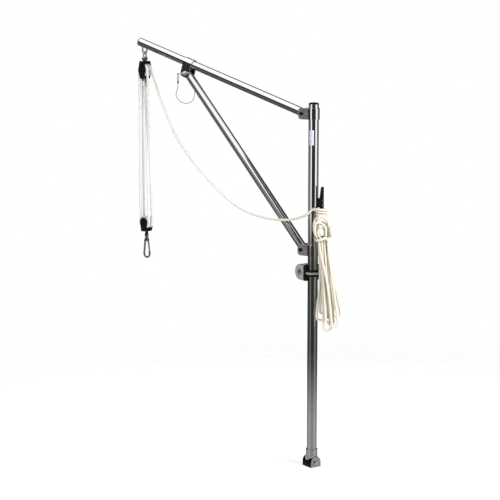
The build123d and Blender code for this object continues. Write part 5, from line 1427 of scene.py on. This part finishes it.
def studio(tree):
    """Brightness of the surround in each direction: panels about level, more low down, and a dim ground."""
    x, y, z = split_up(tree, node_of(tree, "ShaderNodeTexCoord").outputs["Generated"])
    turn = maths(tree, "SUBTRACT", maths(tree, "ARCTAN2", y, x), FRONT)
    turn = maths(tree, "WRAP", turn, np.pi, -np.pi)
    sides, low = (panel_row(tree, turn, row) for row in (PANELS, LOW_PANELS))
    upright = maths(tree, "MULTIPLY", ramp(tree, z, (-0.16, -0.12), (0.13, 1)),
                    ramp(tree, z, (-0.05, 0.03), (1, 0.2)))
    ground = maths(tree, "MULTIPLY", ramp(tree, z, (-0.215, -0.265), (0, 0.27)),
                   ramp(tree, z, (-0.32, -0.275), (0.15, 1)))
    ground = maths(tree, "MULTIPLY_ADD", low, ramp(tree, z, (-0.29, -0.33), (0, 1)), ground)
    return maths(tree, "ADD", maths(tree, "MULTIPLY_ADD", sides, upright, DIM_LEVEL), ground)


def world_light(scene):
    """White backdrop to the camera, and the surround to everything else."""
    world = bpy.data.worlds.new("studio")
    scene.world = world
    world.use_nodes = True
    tree = world.node_tree
    tree.nodes.clear()
    dim, pale = node_of(tree, "ShaderNodeBackground"), node_of(tree, "ShaderNodeBackground")
    dim.inputs["Color"].default_value = (1, 0.99, 0.97, 1)
    wire(tree, studio(tree), dim.inputs["Strength"])
    pale.inputs["Color"].default_value = (1, 1, 1, 1)
    to_camera = node_of(tree, "ShaderNodeLightPath").outputs["Is Camera Ray"]
    mixed = mixed_shader(tree, to_camera, dim, pale)
    wire(tree, mixed, node_of(tree, "ShaderNodeOutputWorld").inputs["Surface"])


class BOOM_OT_stage(bpy.types.Operator):
    """Floor, light and camera"""

    bl_idname = "boom.stage"
    bl_label = "Stage"

    def execute(self, context):
        add_camera(context.scene)
        size = context.scene.boom_sizes.floor_radius
        radius = size / MM
        disc = lathe([(1e-3, -20), (radius, -20), (radius, -1), (1e-3, -1)], steps=128)
        floor = bpy.data.objects.new("floor", mesh_of("floor", [disc]))
        context.collection.objects.link(floor)
        floor.data.materials.append(floor_finish(size))
        floor.visible_glossy = False
        for light in LIGHTS:
            add_light(*light)
        world_light(context.scene)
        context.scene.view_settings.view_transform = "Standard"
        return {"FINISHED"}


class BOOM_PT_panel(bpy.types.Panel):
    """Sidebar panel with the boom's sizes, finishes and build steps"""

    bl_idname = "BOOM_PT_panel"
    bl_label = "Cargo Boom"
    bl_space_type = "VIEW_3D"
    bl_region_type = "UI"
    bl_category = "Boom"

    def draw(self, context):
        for held in (context.scene.boom_sizes, context.scene.boom_finish):
            box = self.layout.box()
            for key in held.__annotations__:
                box.prop(held, key)
        for step in STEPS:
            self.layout.operator(step.bl_idname)


STEPS = (BOOM_OT_stage, BOOM_OT_rope, BOOM_OT_falls, BOOM_OT_lanyard, BOOM_OT_tubes, BOOM_OT_straps,
         BOOM_OT_fasteners, BOOM_OT_pin, BOOM_OT_shackle, BOOM_OT_blocks, BOOM_OT_hook, BOOM_OT_foot,
         BOOM_OT_clamp, BOOM_OT_cleat)
CLASSES = (BoomSizes, BoomFinish) + STEPS + (BOOM_PT_panel,)


def register():
    for item in CLASSES:
        bpy.utils.register_class(item)
    bpy.types.Scene.boom_sizes = PointerProperty(type=BoomSizes)
    bpy.types.Scene.boom_finish = PointerProperty(type=BoomFinish)


def unregister():
    del bpy.types.Scene.boom_finish
    del bpy.types.Scene.boom_sizes
    for item in reversed(CLASSES):
        bpy.utils.unregister_class(item)


def main():
    """Builds every piece in order."""
    register()
    for step in STEPS:
        getattr(bpy.ops.boom, step.bl_idname.split(".")[1])()


if __name__ == "__main__":
    main()
